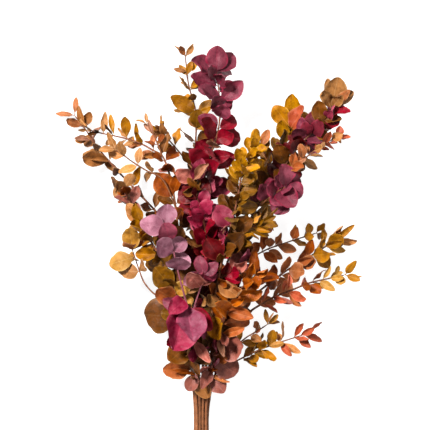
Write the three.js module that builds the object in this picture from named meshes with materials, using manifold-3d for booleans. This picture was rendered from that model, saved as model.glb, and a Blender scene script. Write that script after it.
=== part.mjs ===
// A bunch of dried eucalyptus: leafy branches with their side shoots, held by one tie round the cut
// stems, and lying on its back on a surface. Millimetres.
// The origin is on the surface under the middle of the tie. +Y runs from the tie to the leaf tips,
// +X is to the right for someone who looks down on the bunch, and +Z is up from the surface.
import * as THREE from "three";
import Module from "manifold-3d";

const wasm = await Module();
wasm.setup();

// Stems
const STEM_RADIUS = 2.5; // at the cut end
const SHOOT_RADIUS = 1.4; // a side shoot where it leaves its branch
const TIP_RADIUS = 1;
const STEM_SIDES = 4;
const SHOOT_SIDES = 4;
const STEM_STEP = 75; // length of one straight piece of a bare stem
const BUD_LENGTH = 1.6; // how far a stem goes on past its last leaf pair
const CUT_END_Y = -52;

// The tied bundle: three rows of stems, packed as they fall, the back row lowest
const STEM_PITCH = 5.1;
const ROW_RISE = 4.45;
const BACK_ROW_Z = 4;
const TIE_CLEAR = 0.35;
const TIE_THICK = BACK_ROW_Z - STEM_RADIUS - TIE_CLEAR; // so the tie's underside lies on the surface
const TIE_WIDTH = 9;

// Leaves
const BLADE_THICK = 0.8;
const NECK_WIDE = 1.3; // the short stalk between stem and blade
const NECK_OUT = 1.8; // how far it stands out of the stem
const ROOT_DEPTH = 0.3; // how far past the stem's centre line a leaf is rooted, as a share of its radius
const LARGE_LEAF = 49; // from this length on a leaf has a rounder outline
const LEAF_CLEAR = 0.35; // from the leaves and stems of other branches
const PAIR_OVERLAP = 0.6; // mm3 that the two leaves of a pair may share at their roots
const ROOT_OVERLAP = 3; // mm3 that a leaf may share with the stem that it grows from
const LEAST_OVERLAP = 0.02; // mm3, above what rounding leaves where two solids touch
const REST_TURN = 0.55; // a blade this level may bend flat where it meets the surface
const REST_FOLD = 30; // unless its halves are folded up more than this, in degrees
const REST_DIP = 14; // the most it may bend up by
const MOST_FOLD = 58; // degrees
const WIDEST = [0.76, 1.25]; // an exponent under 1 moves a blade's widest place towards the root
const TIP_BLUNT = 0.56; // the smaller, the rounder a blade's tip
const RIB_MIDDLE = 0.46; // where a blade's faces meet on its rib
const AROUND_SPREAD = [-24, 24]; // degrees that a leaf may stray round the stem
const OPEN_SPREAD = [-12, 12]; // and away from it
const CURL = [-0.65, 1.05]; // radians that a blade bends by from root to tip
const TWIST = [-0.6, 0.6]; // radians that it turns about its rib on the way
const WAVE = [0.01, 0.07]; // height of the waves in its edge, as a share of its length
const LENGTH_SPREAD = [0.84, 1.08];
const WIDTH_SPREAD = [0.85, 1.12];
const FOLD_SPREAD = [0.3, 1.9];

const seat = (column, row) => [column * STEM_PITCH, BACK_ROW_Z + row * ROW_RISE];

// Each branch has its seat in the tie, its colour and its shoots, the first of which is its own stem.
// A shoot's route starts in its branch and ends at its tip. Leaf pairs stand on it from the point
// number "from", every gap[0] mm at first and gap[1] mm at the tip. long and wide are the leaves'
// length and width there too, roll turns the last pair about the stem, open is the pairs' angle to
// the stem, face is how far a blade is turned up to the light, from 0 to 1, and fold closes its halves.
// own lists single leaves: point number, direction, length, width, face and fold.
const BRANCHES = [
  {
    name: "amber_branch_left",
    seat: seat(-1.5, 0),
    colour: 0xb07038,
    shoots: [
      {
        route: [
          [-8, 60, 7], [-14, 130, 14], [-22, 210, 21], [-32, 290, 24], [-50, 345, 25],
          [-72, 373, 25], [-100, 403, 24], [-123, 427, 22], [-153, 460, 19], [-174, 486, 17],
          [-190, 510, 15], [-208, 533, 14],
        ],
        from: 4.4, gap: [27, 24], long: [42, 34], wide: [24, 12], roll: 22,
        open: [68, 46], face: [0.35, 1], fold: 25,
        own: [
          [7.9, [-1, 0.2, 0.1], 50, 30, 1, 18], [8.9, [-0.72, 0.45, -0.53], 36, 22, 1, 8],
          [6.5, [-0.35, -0.72, -0.6], 42, 26, 1, 8],
        ],
      },
    ],
  },
  {
    name: "mustard_branch_top",
    seat: seat(-0.5, 0),
    colour: 0xb57a1e,
    shoots: [
      {
        route: [
          [-2.7, 60, 7], [-5, 130, 14], [-8, 210, 20], [-12, 290, 23], [-12, 370, 25], [-10, 440, 26],
          [-9, 490, 26], [-8, 530, 25], [-13, 555, 24], [-19, 575, 23], [-23, 597, 22], [-26, 630, 21],
        ],
        from: 5.5, gap: [24, 22], long: [44, 25], wide: [28, 9], roll: 22,
        open: [62, 42], face: [0.4, 1], fold: 25,
        own: [[7.3, [-0.86, 0.5, 0.1], 50, 26, 1, 12], [7.1, [0.93, 0.35, 0.1], 32, 12, 0.9, 20]],
      },
      {
        route: [[-11, 441, 26], [-30, 465, 32], [-46, 484, 36], [-60, 500, 37], [-66, 508, 37]],
        from: 1.8, gap: [18, 16], long: [34, 27], wide: [18, 9], roll: 22,
        open: [60, 42], face: [0.5, 1], fold: 25,
      },
    ],
  },
  {
    name: "gold_branch_right",
    seat: seat(0.5, 0),
    colour: 0xb8791b,
    shoots: [
      {
        route: [
          [2.8, 60, 7], [9, 130, 15], [22, 210, 22], [42, 290, 27], [68, 355, 29], [98, 415, 29],
          [112, 445, 28], [125, 470, 26], [137, 492, 24], [146, 512, 22], [152, 524, 21],
        ],
        from: 4.3, gap: [28, 20], long: [40, 50], wide: [26, 33], roll: 22,
        open: [62, 35], face: [0.6, 1], fold: 18,
        own: [[8.4, [0.78, 0.25, -0.57], 46, 30, 1, 8], [9.0, [-0.62, 0.77, 0.1], 46, 31, 1, 12]],
      },
      {
        route: [
          [42, 290, 28], [62, 295, 30], [84, 302, 31], [108, 314, 30], [131, 322, 27], [155, 330, 24],
          [172, 335, 21], [188, 340, 18],
        ],
        from: 1.4, gap: [25, 19], long: [38, 23], wide: [24, 14], roll: 22,
        open: [64, 45], face: [0.2, 1], fold: 22,
      },
      {
        route: [[112, 445, 28], [105, 462, 38], [98, 480, 45]],
        from: 0.9, gap: [19, 16], long: [42, 30], wide: [25, 18], roll: 10,
        open: [66, 40], face: [0.7, 1], fold: 18,
      },
    ],
  },
  {
    name: "ochre_branch_right",
    seat: seat(1.5, 0),
    colour: 0xa8621c,
    shoots: [
      {
        route: [
          [8.4, 60, 7], [20, 120, 13], [45, 180, 18], [78, 230, 22], [118, 263, 23], [150, 286, 21],
          [183, 305, 18], [205, 319, 16], [214, 326, 15],
        ],
        from: 2.5, gap: [30, 24], long: [48, 40], wide: [31, 15], roll: 22,
        open: [58, 36], face: [0.2, 1], fold: 30,
        own: [[6.2, [0.5, -0.55, -0.67], 38, 24, 1, 8], [4.3, [0.3, -0.7, -0.65], 42, 28, 1, 8]],
      },
    ],
  },
  {
    name: "copper_branch_left",
    seat: seat(-2, 1),
    colour: 0xa5531f,
    shoots: [
      {
        route: [
          [-10.8, 60, 13], [-17, 130, 28], [-24, 210, 46], [-32, 290, 58], [-38, 360, 66], [-45, 410, 70],
          [-52, 440, 70], [-62, 464, 68], [-78, 474, 64], [-100, 486, 60], [-122, 493, 56], [-158, 501, 50],
          [-181, 507, 46],
        ],
        from: 7.1, gap: [26, 25], long: [36, 28], wide: [18, 9], roll: 22,
        open: [66, 44], face: [0.4, 1], fold: 25,
        own: [
          [4.7, [-0.55, 0.72, 0.15], 48, 38, 1, 12], [5.0, [0.2, 0.9, 0.35], 46, 38, 1, 15],
          [5.2, [-0.7, 0.5, 0.6], 50, 20, 0.9, 38], [5.4, [0.8, 0.45, 0.2], 42, 28, 0.9, 20],
          [4.2, [0.85, 0.35, 0.4], 40, 30, 0.9, 18], [4.0, [-0.85, 0.3, 0.3], 42, 28, 0.9, 18],
          [9.9, [-0.05, 0.99, 0.15], 40, 18, 1, 14], [9.2, [0.08, 0.98, 0.15], 38, 9, 0.9, 30],
          [10.5, [-0.2, 0.96, 0.2], 36, 11, 0.9, 30], [11.0, [0.1, 0.97, 0.2], 36, 13, 1, 20],
        ],
      },
      {
        route: [[-62, 464, 68], [-68, 480, 73], [-76, 498, 75], [-86, 514, 76]],
        from: 1.1, gap: [18, 15], long: [26, 22], wide: [10, 8], roll: 22,
        open: [50, 36], face: [0.4, 1], fold: 30,
      },
      {
        route: [
          [-40, 380, 68], [-60, 425, 82], [-88, 441, 83],
          [-110, 455, 81], [-126, 467, 79], [-136, 473, 78],
        ],
        from: 1.6, gap: [22, 17], long: [34, 31], wide: [19, 15], roll: 22,
        open: [66, 44], face: [0.5, 1], fold: 22,
      },
    ],
  },
  {
    name: "crimson_branch_heart",
    seat: seat(-1, 1),
    colour: 0x9c1836,
    shoots: [
      {
        route: [
          [-5.3, 60, 13], [-4, 130, 29], [0, 210, 49], [4, 280, 66], [8, 330, 78], [2, 370, 87],
          [-6, 400, 92], [-12, 424, 94],
        ],
        from: 2.6, gap: [19, 17], long: [43, 35], wide: [33, 29], roll: 22,
        open: [70, 46], face: [0.5, 1], fold: 20,
        own: [
          [2.3, [0.65, 0.7, 0.3], 42, 32, 0.9, 15], [2.4, [-0.7, 0.65, 0.2], 44, 32, 0.9, 15],
          [1.6, [0.8, 0.3, 0.5], 40, 26, 0.8, 20],
        ],
      },
      {
        route: [[4, 285, 67], [22, 315, 84], [36, 342, 92], [44, 366, 95], [46, 380, 96]],
        from: 0.9, gap: [18, 16], long: [42, 36], wide: [32, 28], roll: 22,
        open: [68, 44], face: [0.5, 1], fold: 18,
      },
      {
        route: [[2, 238, 56], [24, 262, 74], [46, 278, 82], [62, 288, 84]],
        from: 1.0, gap: [19, 17], long: [45, 40], wide: [29, 21], roll: 22,
        open: [62, 40], face: [0.5, 1], fold: 22,
      },
    ],
  },
  {
    name: "purple_branch_top",
    seat: seat(0, 1),
    colour: 0x8e3a55,
    shoots: [
      {
        route: [
          [0.2, 60, 13], [3, 130, 27], [5, 210, 42], [6, 290, 52], [4, 370, 60], [6, 430, 66],
          [14, 462, 70], [22, 485, 73], [28, 508, 74], [31, 540, 75], [28, 572, 75], [25, 598, 76],
        ],
        from: 4.6, gap: [24, 23], long: [48, 48], wide: [36, 37], roll: 22,
        open: [70, 60], face: [0.65, 1], fold: 15,
        own: [[11.0, [0.02, 1, 0.1], 42, 38, 1, 8], [10.1, [-0.93, 0.3, 0.2], 50, 30, 1, 10]],
      },
    ],
  },
  {
    name: "wine_branch_right",
    seat: seat(1, 1),
    colour: 0x7c2a45,
    shoots: [
      {
        route: [
          [5.6, 60, 13], [14, 130, 26], [28, 210, 41], [50, 290, 53], [78, 360, 63], [104, 405, 70],
          [128, 440, 76], [150, 472, 80], [171, 495, 82], [188, 511, 83], [202, 528, 84], [210, 544, 85],
        ],
        from: 6.3, gap: [23, 17], long: [44, 38], wide: [31, 27], roll: 22,
        open: [62, 46], face: [0.5, 1], fold: 18,
        own: [
          [4.1, [0.75, -0.5, 0.2], 40, 30, 0.9, 14], [4.6, [-0.7, 0.5, 0.3], 42, 30, 0.9, 14],
          [3.0, [0.6, 0.75, 0.25], 48, 38, 0.9, 14],
          [10.8, [0.15, 0.97, 0.15], 52, 38, 1, 10],
        ],
      },
      {
        route: [[90, 382, 67], [108, 396, 84], [124, 408, 95], [134, 414, 102]],
        from: 1.0, gap: [14, 11], long: [42, 40], wide: [38, 35], roll: 22,
        open: [76, 54], face: [0.5, 1], fold: 16,
      },
      {
        route: [
          [104, 405, 70], [124, 424, 90], [140, 442, 97], [155, 453, 98], [172, 465, 97], [190, 479, 94],
          [206, 488, 91], [216, 492, 89],
        ],
        from: 2.2, gap: [20, 15], long: [33, 22], wide: [18, 16], roll: 22,
        open: [64, 46], face: [0.3, 1], fold: 20,
      },
    ],
  },
  {
    name: "rust_branch_low_right",
    seat: seat(2, 1),
    colour: 0xa5461d,
    shoots: [
      {
        route: [
          [10.9, 50, 12], [20, 100, 21], [42, 155, 36], [70, 205, 47], [108, 232, 51], [132, 243, 51],
          [155, 252, 50], [172, 259, 49], [192, 264, 47], [212, 268, 46], [233, 273, 45],
        ],
        from: 3.7, gap: [23, 21], long: [35, 29], wide: [18, 12], roll: 22,
        open: [64, 40], face: [0.1, 1], fold: 24,
      },
      {
        route: [
          [24, 105, 22], [45, 125, 31], [70, 139, 35], [88, 148, 36], [108, 156, 36], [128, 163, 36],
          [150, 170, 36], [166, 175, 36],
        ],
        from: 1.9, gap: [22, 19], long: [38, 36], wide: [17, 13], roll: 22,
        open: [58, 38], face: [0.3, 1], fold: 26,
      },
      {
        route: [[38, 146, 34], [60, 161, 42], [75, 173, 46], [92, 183, 48], [107, 193, 49]],
        from: 1.2, gap: [20, 17], long: [30, 25], wide: [14, 11], roll: 22,
        open: [60, 38], face: [0.3, 1], fold: 26,
      },
    ],
  },
  {
    name: "tan_branch_left",
    seat: seat(-1.5, 2),
    colour: 0xb98a3c,
    shoots: [
      {
        route: [
          [-8, 60, 19], [-16, 130, 40], [-30, 200, 64], [-44, 250, 78], [-58, 290, 83], [-78, 325, 82],
          [-92, 350, 78], [-100, 363, 75], [-112, 385, 70], [-119, 403, 67], [-123, 413, 66],
        ],
        from: 3.9, gap: [22, 20], long: [43, 34], wide: [30, 21], roll: 22,
        open: [64, 44], face: [0.5, 1], fold: 18,
        own: [
          [2.1, [-1, 0.05, 0.05], 64, 60, 1, 8], [3.1, [0.75, 0.4, 0.1], 60, 50, 1, 14],
          [3.0, [-0.5, 0.8, 0.2], 50, 38, 0.95, 18], [1.4, [-0.6, -0.5, 0.3], 46, 40, 0.9, 12],
          [2.3, [0.1, 0.9, 0.3], 58, 48, 0.95, 16], [1.6, [0.8, -0.2, 0.1], 52, 44, 1, 12],
          [0.9, [-0.9, -0.1, 0.1], 48, 36, 1, 12], [2.6, [-0.8, 0.5, 0.4], 46, 34, 0.9, 16],
        ],
      },
      {
        route: [
          [-40, 232, 74], [-58, 236, 84], [-75, 245, 86], [-90, 262, 84], [-98, 281, 81], [-104, 298, 79],
          [-109, 313, 78],
        ],
        from: 3.9, gap: [24, 22], long: [38, 34], wide: [25, 22], roll: 70,
        open: [60, 40], face: [0.8, 1], fold: 12,
        own: [[5.9, [-0.12, 0.98, 0.15], 46, 30, 1, 8], [5.3, [-0.93, -0.3, 0.1], 44, 33, 1, 8]],
      },
    ],
  },
  {
    name: "lilac_branch_front",
    seat: seat(-0.5, 2),
    colour: 0x9d5878,
    shoots: [
      {
        route: [
          [-2.7, 60, 20], [-6, 110, 36], [-11, 150, 54], [-16, 190, 76], [-22, 226, 95], [-30, 258, 104],
          [-36, 282, 109], [-42, 310, 113], [-48, 331, 114], [-56, 349, 113],
        ],
        from: 6.0, gap: [24, 20], long: [42, 38], wide: [40, 32], roll: 22,
        open: [46, 44], face: [0.9, 1], fold: 8,
        own: [
          [4.0, [-0.28, -0.95, 0.05], 76, 66, 0.95, 28], [4.1, [0.2, -0.96, 0.28], 72, 54, 0.9, 26],
          [3.7, [-0.9, 0.45, 0.2], 46, 28, 0.8, 25], [1.1, [-0.4, -0.75, 0.1], 34, 24, 0.8, 15],
          [3.8, [0.75, -0.6, 0.1], 50, 36, 0.9, 18], [2.5, [0.6, -0.75, 0.3], 52, 20, 0.9, 26], [1.5, [0.7, 0.5, 0.5], 46, 30, 0.9, 20],
          [0.85, [0.45, -0.8, 0.25], 36, 28, 0.95, 14],
          [5.0, [0.8, 0.5, -0.1], 36, 26, 0.8, 18],
        ],
      },
      {
        route: [[-17, 200, 83], [-8, 232, 97], [0, 256, 102], [5, 274, 104]],
        from: 2.0, gap: [16, 14], long: [50, 36], wide: [34, 26], roll: 0,
        open: [60, 40], face: [0.9, 1], fold: 14,
      },
    ],
  },
  {
    name: "olive_branch_front",
    seat: seat(0.5, 2),
    colour: 0xa3781f,
    shoots: [
      {
        route: [
          [2.8, 60, 19], [8, 130, 37], [16, 200, 60], [28, 270, 81], [42, 330, 96], [52, 370, 101],
          [58, 395, 103], [62, 420, 105], [66, 440, 105], [73, 457, 104], [86, 475, 102],
        ],
        from: 4.8, gap: [20, 13], long: [38, 34], wide: [22, 21], roll: 22,
        open: [66, 50], face: [0.5, 1], fold: 18,
        own: [
          [4.5, [-0.6, 0.7, 0.2], 42, 34, 0.95, 14], [4.3, [0.8, 0.45, 0.3], 44, 30, 0.9, 16],
          [2.15, [0.3, -0.9, 0.35], 50, 32, 0.9, 28], [2.6, [-0.5, -0.7, 0.5], 34, 24, 0.9, 20],
          [2.9, [0.75, -0.55, 0.3], 40, 30, 0.9, 18],
          [3.4, [-0.5, 0.75, 0.35], 46, 36, 0.9, 18], [3.7, [0.75, 0.55, 0.3], 46, 34, 0.9, 18],
          [0.75, [-0.4, 0.85, 0.45], 46, 26, 0.9, 20], [0.55, [0.3, -0.9, 0.25], 32, 24, 1, 14],
        ],
      },
      {
        route: [[36, 305, 90], [58, 334, 99], [80, 350, 99], [98, 358, 97]],
        from: 0.7, gap: [13, 12], long: [40, 36], wide: [17, 15], roll: 22,
        open: [62, 38], face: [0.3, 1], fold: 26,
      },
    ],
  },
  {
    name: "terracotta_branch_front",
    seat: seat(1.5, 2),
    colour: 0xb55a33,
    shoots: [
      {
        route: [
          [8.3, 60, 19], [15, 115, 34], [26, 165, 54], [40, 212, 72], [60, 248, 85], [84, 272, 90],
        ],
        from: 2.6, gap: [22, 20], long: [52, 44], wide: [34, 26], roll: 5,
        open: [60, 40], face: [0.8, 1], fold: 28,
        own: [
          [1.8, [0.85, 0.1, 0.1], 54, 50, 1, 10], [1.5, [0.75, -0.6, 0.1], 48, 42, 1, 10],
          [1.9, [-0.55, 0.7, 0.5], 56, 22, 0.85, 40], [2.2, [0.9, 0.3, 0.5], 52, 20, 0.8, 40],
          [1.1, [-0.97, -0.05, 0.35], 52, 30, 0.9, 26], [1.2, [0.9, -0.15, 0.5], 48, 16, 0.6, 38],
          [1.3, [0.35, 0.3, 0.8], 36, 28, 0.7, 20], [0.9, [0.6, -0.75, 0.2], 38, 32, 0.9, 14],
          [2.4, [-0.45, 0.75, 0.4], 52, 38, 0.95, 24], [1.0, [0.85, 0.35, 0.5], 32, 26, 0.85, 14],
          [2.0, [-0.75, 0.15, 0.6], 44, 30, 0.9, 18],
          [3.1, [0.55, 0.75, 0.35], 50, 36, 0.9, 22], [1.15, [0.3, 0.85, 0.45], 50, 22, 0.9, 28],
        ],
      },
    ],
  },
];

// A repeatable stream of numbers from 0 to 1, from a linear congruential generator.
const DRAW_RANGE = 2 ** 32;
function seededDraws(seed) {
  let state = (seed * 7919 + 104729) % DRAW_RANGE;
  const draw = () => {
    state = (state * 1664525 + 1013904223) % DRAW_RANGE;
    return state / DRAW_RANGE;
  };
  draw();
  draw();
  return draw;
}

const mix = (ends, share) => ends[0] + (ends[1] - ends[0]) * share;
const radians = THREE.MathUtils.degToRad;

// The point at number t of a route, on a smooth line through its points.
function routePoint(route, t) {
  const last = route.length - 1;
  const i = Math.min(Math.floor(t), last - 1);
  const u = t - i;
  const [a, b, c, d] = [i - 1, i, i + 1, i + 2].map((n) => route[Math.min(Math.max(n, 0), last)]);
  return new THREE.Vector3(
    ...[0, 1, 2].map(
      (k) =>
        0.5 *
        (2 * b[k] +
          (c[k] - a[k]) * u +
          (2 * a[k] - 5 * b[k] + 4 * c[k] - d[k]) * u * u +
          (3 * b[k] - a[k] - 3 * c[k] + d[k]) * u * u * u),
    ),
  );
}

function routeDirection(route, t) {
  const last = route.length - 1;
  const ahead = routePoint(route, Math.min(t + 0.05, last));
  return ahead.sub(routePoint(route, Math.max(t - 0.05, 0))).normalize();
}

// A solid from its corners, as vectors, and its triangles, as corner numbers.
function solidOf(corners, triangles) {
  return new wasm.Manifold(
    new wasm.Mesh({
      numProp: 3,
      vertProperties: new Float32Array(corners.flatMap((p) => [p.x, p.y, p.z])),
      triVerts: new Uint32Array(triangles.flat()),
    }),
  );
}

// Where the leaf pairs stand on a shoot, as point numbers of its route. The last pair ends the shoot.
function pairPlaces({ route, from, gap }) {
  const last = route.length - 1;
  const places = [];
  for (let t = from; t <= last; ) {
    places.push(t);
    const here = Math.min(Math.floor(t), last - 1);
    const spacing = routePoint(route, here).distanceTo(routePoint(route, here + 1));
    t += mix(gap, (t - from) / (last - from)) / spacing;
  }
  const stretch = (last - from) / (places[places.length - 1] - from);
  return places.map((place) => from + (place - from) * stretch);
}

// The rings of a stem: evenly along its bare length, then half way between its leaf pairs.
function ringPlaces(route, pairs) {
  const last = route.length - 1;
  const bare = pairs[0] - 0.3; // just below the first pair
  const places = [0];
  for (let i = 0; i < bare; i++) {
    const length = routePoint(route, i).distanceTo(routePoint(route, i + 1));
    const pieces = Math.max(1, Math.round(length / STEM_STEP));
    for (let k = 1; k <= pieces; k++) places.push(i + k / pieces);
  }
  const below = places.filter((t) => t < bare - 0.1); // no ring close to the next
  const between = pairs.slice(1).map((t, k) => (t + pairs[k]) / 2);
  return [...below, bare, ...between, last];
}

// A tapering stem with a flat cut at both ends.
function stemSolid(shoot) {
  const { route, thick, sides, roll } = shoot;
  const last = route.length - 1;
  const corners = [];
  const triangles = [];
  const rings = ringPlaces(route, pairPlaces(shoot));
  rings.forEach((t, ring) => {
    const along = routeDirection(route, t);
    const across = new THREE.Vector3(0, 0, 1).cross(along).normalize();
    const up = along.clone().cross(across);
    const radius = mix(thick, t / last);
    const middle = routePoint(route, t).addScaledVector(along, t < last ? 0 : BUD_LENGTH);
    for (let k = 0; k < sides; k++) {
      const angle = radians(roll) + (2 * Math.PI * (k + 0.5)) / sides;
      corners.push(
        middle
          .clone()
          .addScaledVector(across, radius * Math.cos(angle))
          .addScaledVector(up, radius * Math.sin(angle)),
      );
    }
    if (ring === 0) return;
    for (let k = 0; k < sides; k++) {
      const low = (ring - 1) * sides;
      const next = (k + 1) % sides;
      triangles.push([low + k, low + next, low + sides + next]);
      triangles.push([low + k, low + sides + next, low + sides + k]);
    }
  });
  const top = (rings.length - 1) * sides;
  for (let k = 1; k < sides - 1; k++) {
    triangles.push([0, k + 1, k]);
    triangles.push([top, top + k, top + k + 1]);
  }
  return solidOf(corners, triangles);
}

// The leaves of a shoot as the plant grows them: opposite pairs, each a quarter turn from the last.
function leavesOf(shoot) {
  const { seed, route, thick, from, long, wide, roll, open, face, fold } = shoot;
  const last = route.length - 1;
  const leaves = [];
  const add = (t, single, aim, length, width, turned, folded, draw) => {
    leaves.push({
      root: routePoint(route, t),
      stem: routeDirection(route, t),
      stemRadius: mix(thick, t / last),
      single,
      aim,
      length,
      width,
      turned,
      folded,
      curl: mix(CURL, draw()),
      wave: mix(WAVE, draw()),
      phase: draw(),
      twist: mix(TWIST, draw()),
      widest: mix(WIDEST, draw()),
    });
  };
  (shoot.own || []).forEach(([t, aim, length, width, turned, folded], k) => {
    const draw = seededDraws(seed * 1000 + 500 + k);
    add(t, true, new THREE.Vector3(...aim).normalize(), length, width, turned, folded, draw);
  });
  pairPlaces(shoot).forEach((t, pair, { length: pairs }) => {
    const share = (t - from) / (last - from);
    const stem = routeDirection(route, t);
    const across = new THREE.Vector3(0, 0, 1).cross(stem).normalize();
    [0, 1].forEach((side) => {
      const draw = seededDraws(seed * 1000 + pair * 2 + side);
      const turn = 90 * (pairs - 1 - pair) + 180 * side;
      const around = radians(roll + turn + mix(AROUND_SPREAD, draw()));
      const outward = across.clone().applyAxisAngle(stem, around);
      const angle = radians(mix(open, share) + mix(OPEN_SPREAD, draw()));
      const aim = stem.clone().multiplyScalar(Math.cos(angle)).addScaledVector(outward, Math.sin(angle));
      const size = mix(LENGTH_SPREAD, draw());
      const length = mix(long, share) * size;
      const width = mix(wide, share) * size * mix(WIDTH_SPREAD, draw());
      const turned = mix(face, draw());
      add(t, false, aim, length, width, turned, fold * mix(FOLD_SPREAD, draw()), draw);
    });
  });
  return leaves;
}

// How a leaf may give way to its neighbours, best first: degrees it lifts, degrees it swings, its size.
const GIVE_TURNS = [[9, 1], [18, 0.97], [28, 0.92], [40, 0.84], [55, 0.76]];
const GIVE_WAYS = [[1, 0], [-1, 0], [0.7, 0.7], [-0.7, 0.7], [0.7, -0.7], [-0.7, -0.7], [0, 1], [0, -1]];
const GIVES = [[0, 0, 1]];
for (const [turn, size] of GIVE_TURNS) {
  for (const [lift, swing] of GIVE_WAYS) GIVES.push([turn * lift, turn * swing, size]);
}
GIVES.push([0, 0, 0.7], [25, 0, 0.62], [-25, 0, 0.62]);

const neckShare = (leaf, frame) => (leaf.stemRadius + NECK_OUT) / frame.length;

// How far a place on a blade is from the end of its neck to its tip, from 0 to 1.
function pastNeck(leaf, frame, s) {
  const neck = neckShare(leaf, frame);
  return Math.min(Math.max((s - neck) / (1 - neck), 0), 0.9999);
}

// Half the width of a blade at share s of its length: a narrow neck, then the leaf's own outline,
// which is rounder on a broad leaf and towards the tip.
function halfWidth(leaf, frame, s) {
  const beyond = pastNeck(leaf, frame, s);
  const pointed = Math.min(Math.max(1.05 - (0.55 * leaf.width) / leaf.length, 0.52), 0.92);
  const power = mix([pointed, TIP_BLUNT], beyond);
  const outline = Math.pow(Math.sin(Math.PI * Math.pow(beyond, leaf.widest)), power);
  return Math.max(NECK_WIDE / 2, (frame.width / 2) * outline);
}

// The blade's own directions once it has given way: along, across and out of its upper face.
function bladeFrame(leaf, [lift, swing, size]) {
  const natural = leaf.stem.clone().addScaledVector(leaf.aim, -leaf.stem.dot(leaf.aim)).normalize();
  const light = new THREE.Vector3(0, 0, 1).addScaledVector(leaf.aim, -leaf.aim.z);
  if (light.length() < 0.15) light.copy(natural); // a leaf that stands straight up
  light.normalize().multiplyScalar(leaf.turned);
  const out = natural.multiplyScalar(1 - leaf.turned).add(light).normalize();
  const level = out.clone().cross(leaf.aim).normalize();
  const along = leaf.aim.clone().applyAxisAngle(level, -radians(lift)).applyAxisAngle(out, radians(swing));
  const face = along.clone().cross(level.applyAxisAngle(out, radians(swing))).normalize();
  const across = face.clone().cross(along);
  return { along, across, face, length: leaf.length * size, width: leaf.width * size };
}

// A point of the blade's middle layer: s runs from root to tip and w from edge to edge, -1 to 1.
// Returns the point and the offset to its upper face.
function bladePoint(leaf, frame, s, w) {
  const bend = Math.abs(leaf.curl) < 0.05 ? 0.05 : leaf.curl; // a flat blade has no radius
  const angle = bend * s;
  const radius = frame.length / bend;
  const half = halfWidth(leaf, frame, s);
  const closed = radians(Math.min(leaf.folded, MOST_FOLD));
  const reach = (w * half) / (frame.width / 2); // the neck stays straight
  const turns = 1.5 * s + leaf.phase + 0.25 * Math.sign(w);
  const ripple = leaf.wave * frame.length * reach * reach * Math.sin(2 * Math.PI * turns);
  const twist = leaf.twist * pastNeck(leaf, frame, s);
  const level = frame.face.clone().multiplyScalar(Math.cos(angle));
  level.addScaledVector(frame.along, -Math.sin(angle));
  const out = level.clone().multiplyScalar(Math.cos(twist));
  out.addScaledVector(frame.across, -Math.sin(twist));
  const across = frame.across.clone().multiplyScalar(Math.cos(twist));
  across.addScaledVector(level, Math.sin(twist));
  const point = leaf.root
    .clone()
    .addScaledVector(frame.along, radius * Math.sin(angle))
    .addScaledVector(frame.face, radius * (1 - Math.cos(angle)))
    .addScaledVector(across, w * half * Math.cos(closed))
    .addScaledVector(out, Math.abs(w) * half * Math.sin(closed) + ripple);
  return { point, offset: out.multiplyScalar(BLADE_THICK / 2 / Math.cos(closed)) };
}

// The stations of a blade's outline on one side, as shares of its length.
const stations = (leaf) => (leaf.length < LARGE_LEAF ? [0.32, 0.74] : [0.2, 0.5, 0.84]);

// The solid of a leaf, or nothing where it would have to pass far through the surface. A blade that
// meets the surface bends flat onto it.
function leafSolid(leaf, give) {
  const frame = bladeFrame(leaf, give);
  const sides = [neckShare(leaf, frame), ...stations(leaf)];
  const outline = [...sides.map((s) => [s, -1]), [1, 0], ...[...sides].reverse().map((s) => [s, 1])];
  const corners = [leaf.root.clone().addScaledVector(frame.along, -ROOT_DEPTH * leaf.stemRadius)];
  let lowest = Infinity;
  const addCorner = ([s, w], side) => {
    const { point, offset } = bladePoint(leaf, frame, s, w);
    point.addScaledVector(offset, side);
    lowest = Math.min(lowest, point.z);
    const upward = offset.z > 0 ? side : -side;
    corners.push(point.setZ(Math.max(point.z, upward > 0 ? BLADE_THICK : 0)));
  };
  [...outline, [RIB_MIDDLE, 0]].forEach((place) => addCorner(place, 1));
  [[sides[0], 0], ...outline.slice(1, -1), [RIB_MIDDLE, 0]].forEach((place) => addCorner(place, -1));
  const level = Math.abs(frame.face.z) > REST_TURN && leaf.folded < REST_FOLD;
  if (lowest < (level ? -REST_DIP : 0)) return null;
  const count = outline.length;
  const upper = (k) => 1 + k;
  const lower = (k) => 2 + count + (k % (count - 1)); // the neck has one lower edge
  const upperMiddle = 1 + count;
  const lowerMiddle = 1 + 2 * count;
  const triangles = [
    [0, upper(0), upper(count - 1)],
    [0, lower(0), upper(0)],
    [0, upper(count - 1), lower(0)],
    [upper(count - 1), upper(0), upperMiddle],
  ];
  for (let k = 0; k + 1 < count; k++) {
    triangles.push([upper(k), upper(k + 1), upperMiddle]);
    triangles.push([lower(k + 1), lower(k), lowerMiddle]);
    triangles.push([upper(k), lower(k), upper(k + 1)]);
    triangles.push([upper(k + 1), lower(k), lower(k + 1)]);
  }
  const made = solidOf(corners, triangles);
  return made.volume() < 0 ? solidOf(corners, triangles.map(([a, b, c]) => [a, c, b])) : made;
}

const boxesMeet = (a, b, margin) =>
  [0, 1, 2].every((k) => a.min[k] - margin < b.max[k] && b.min[k] - margin < a.max[k]);

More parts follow.
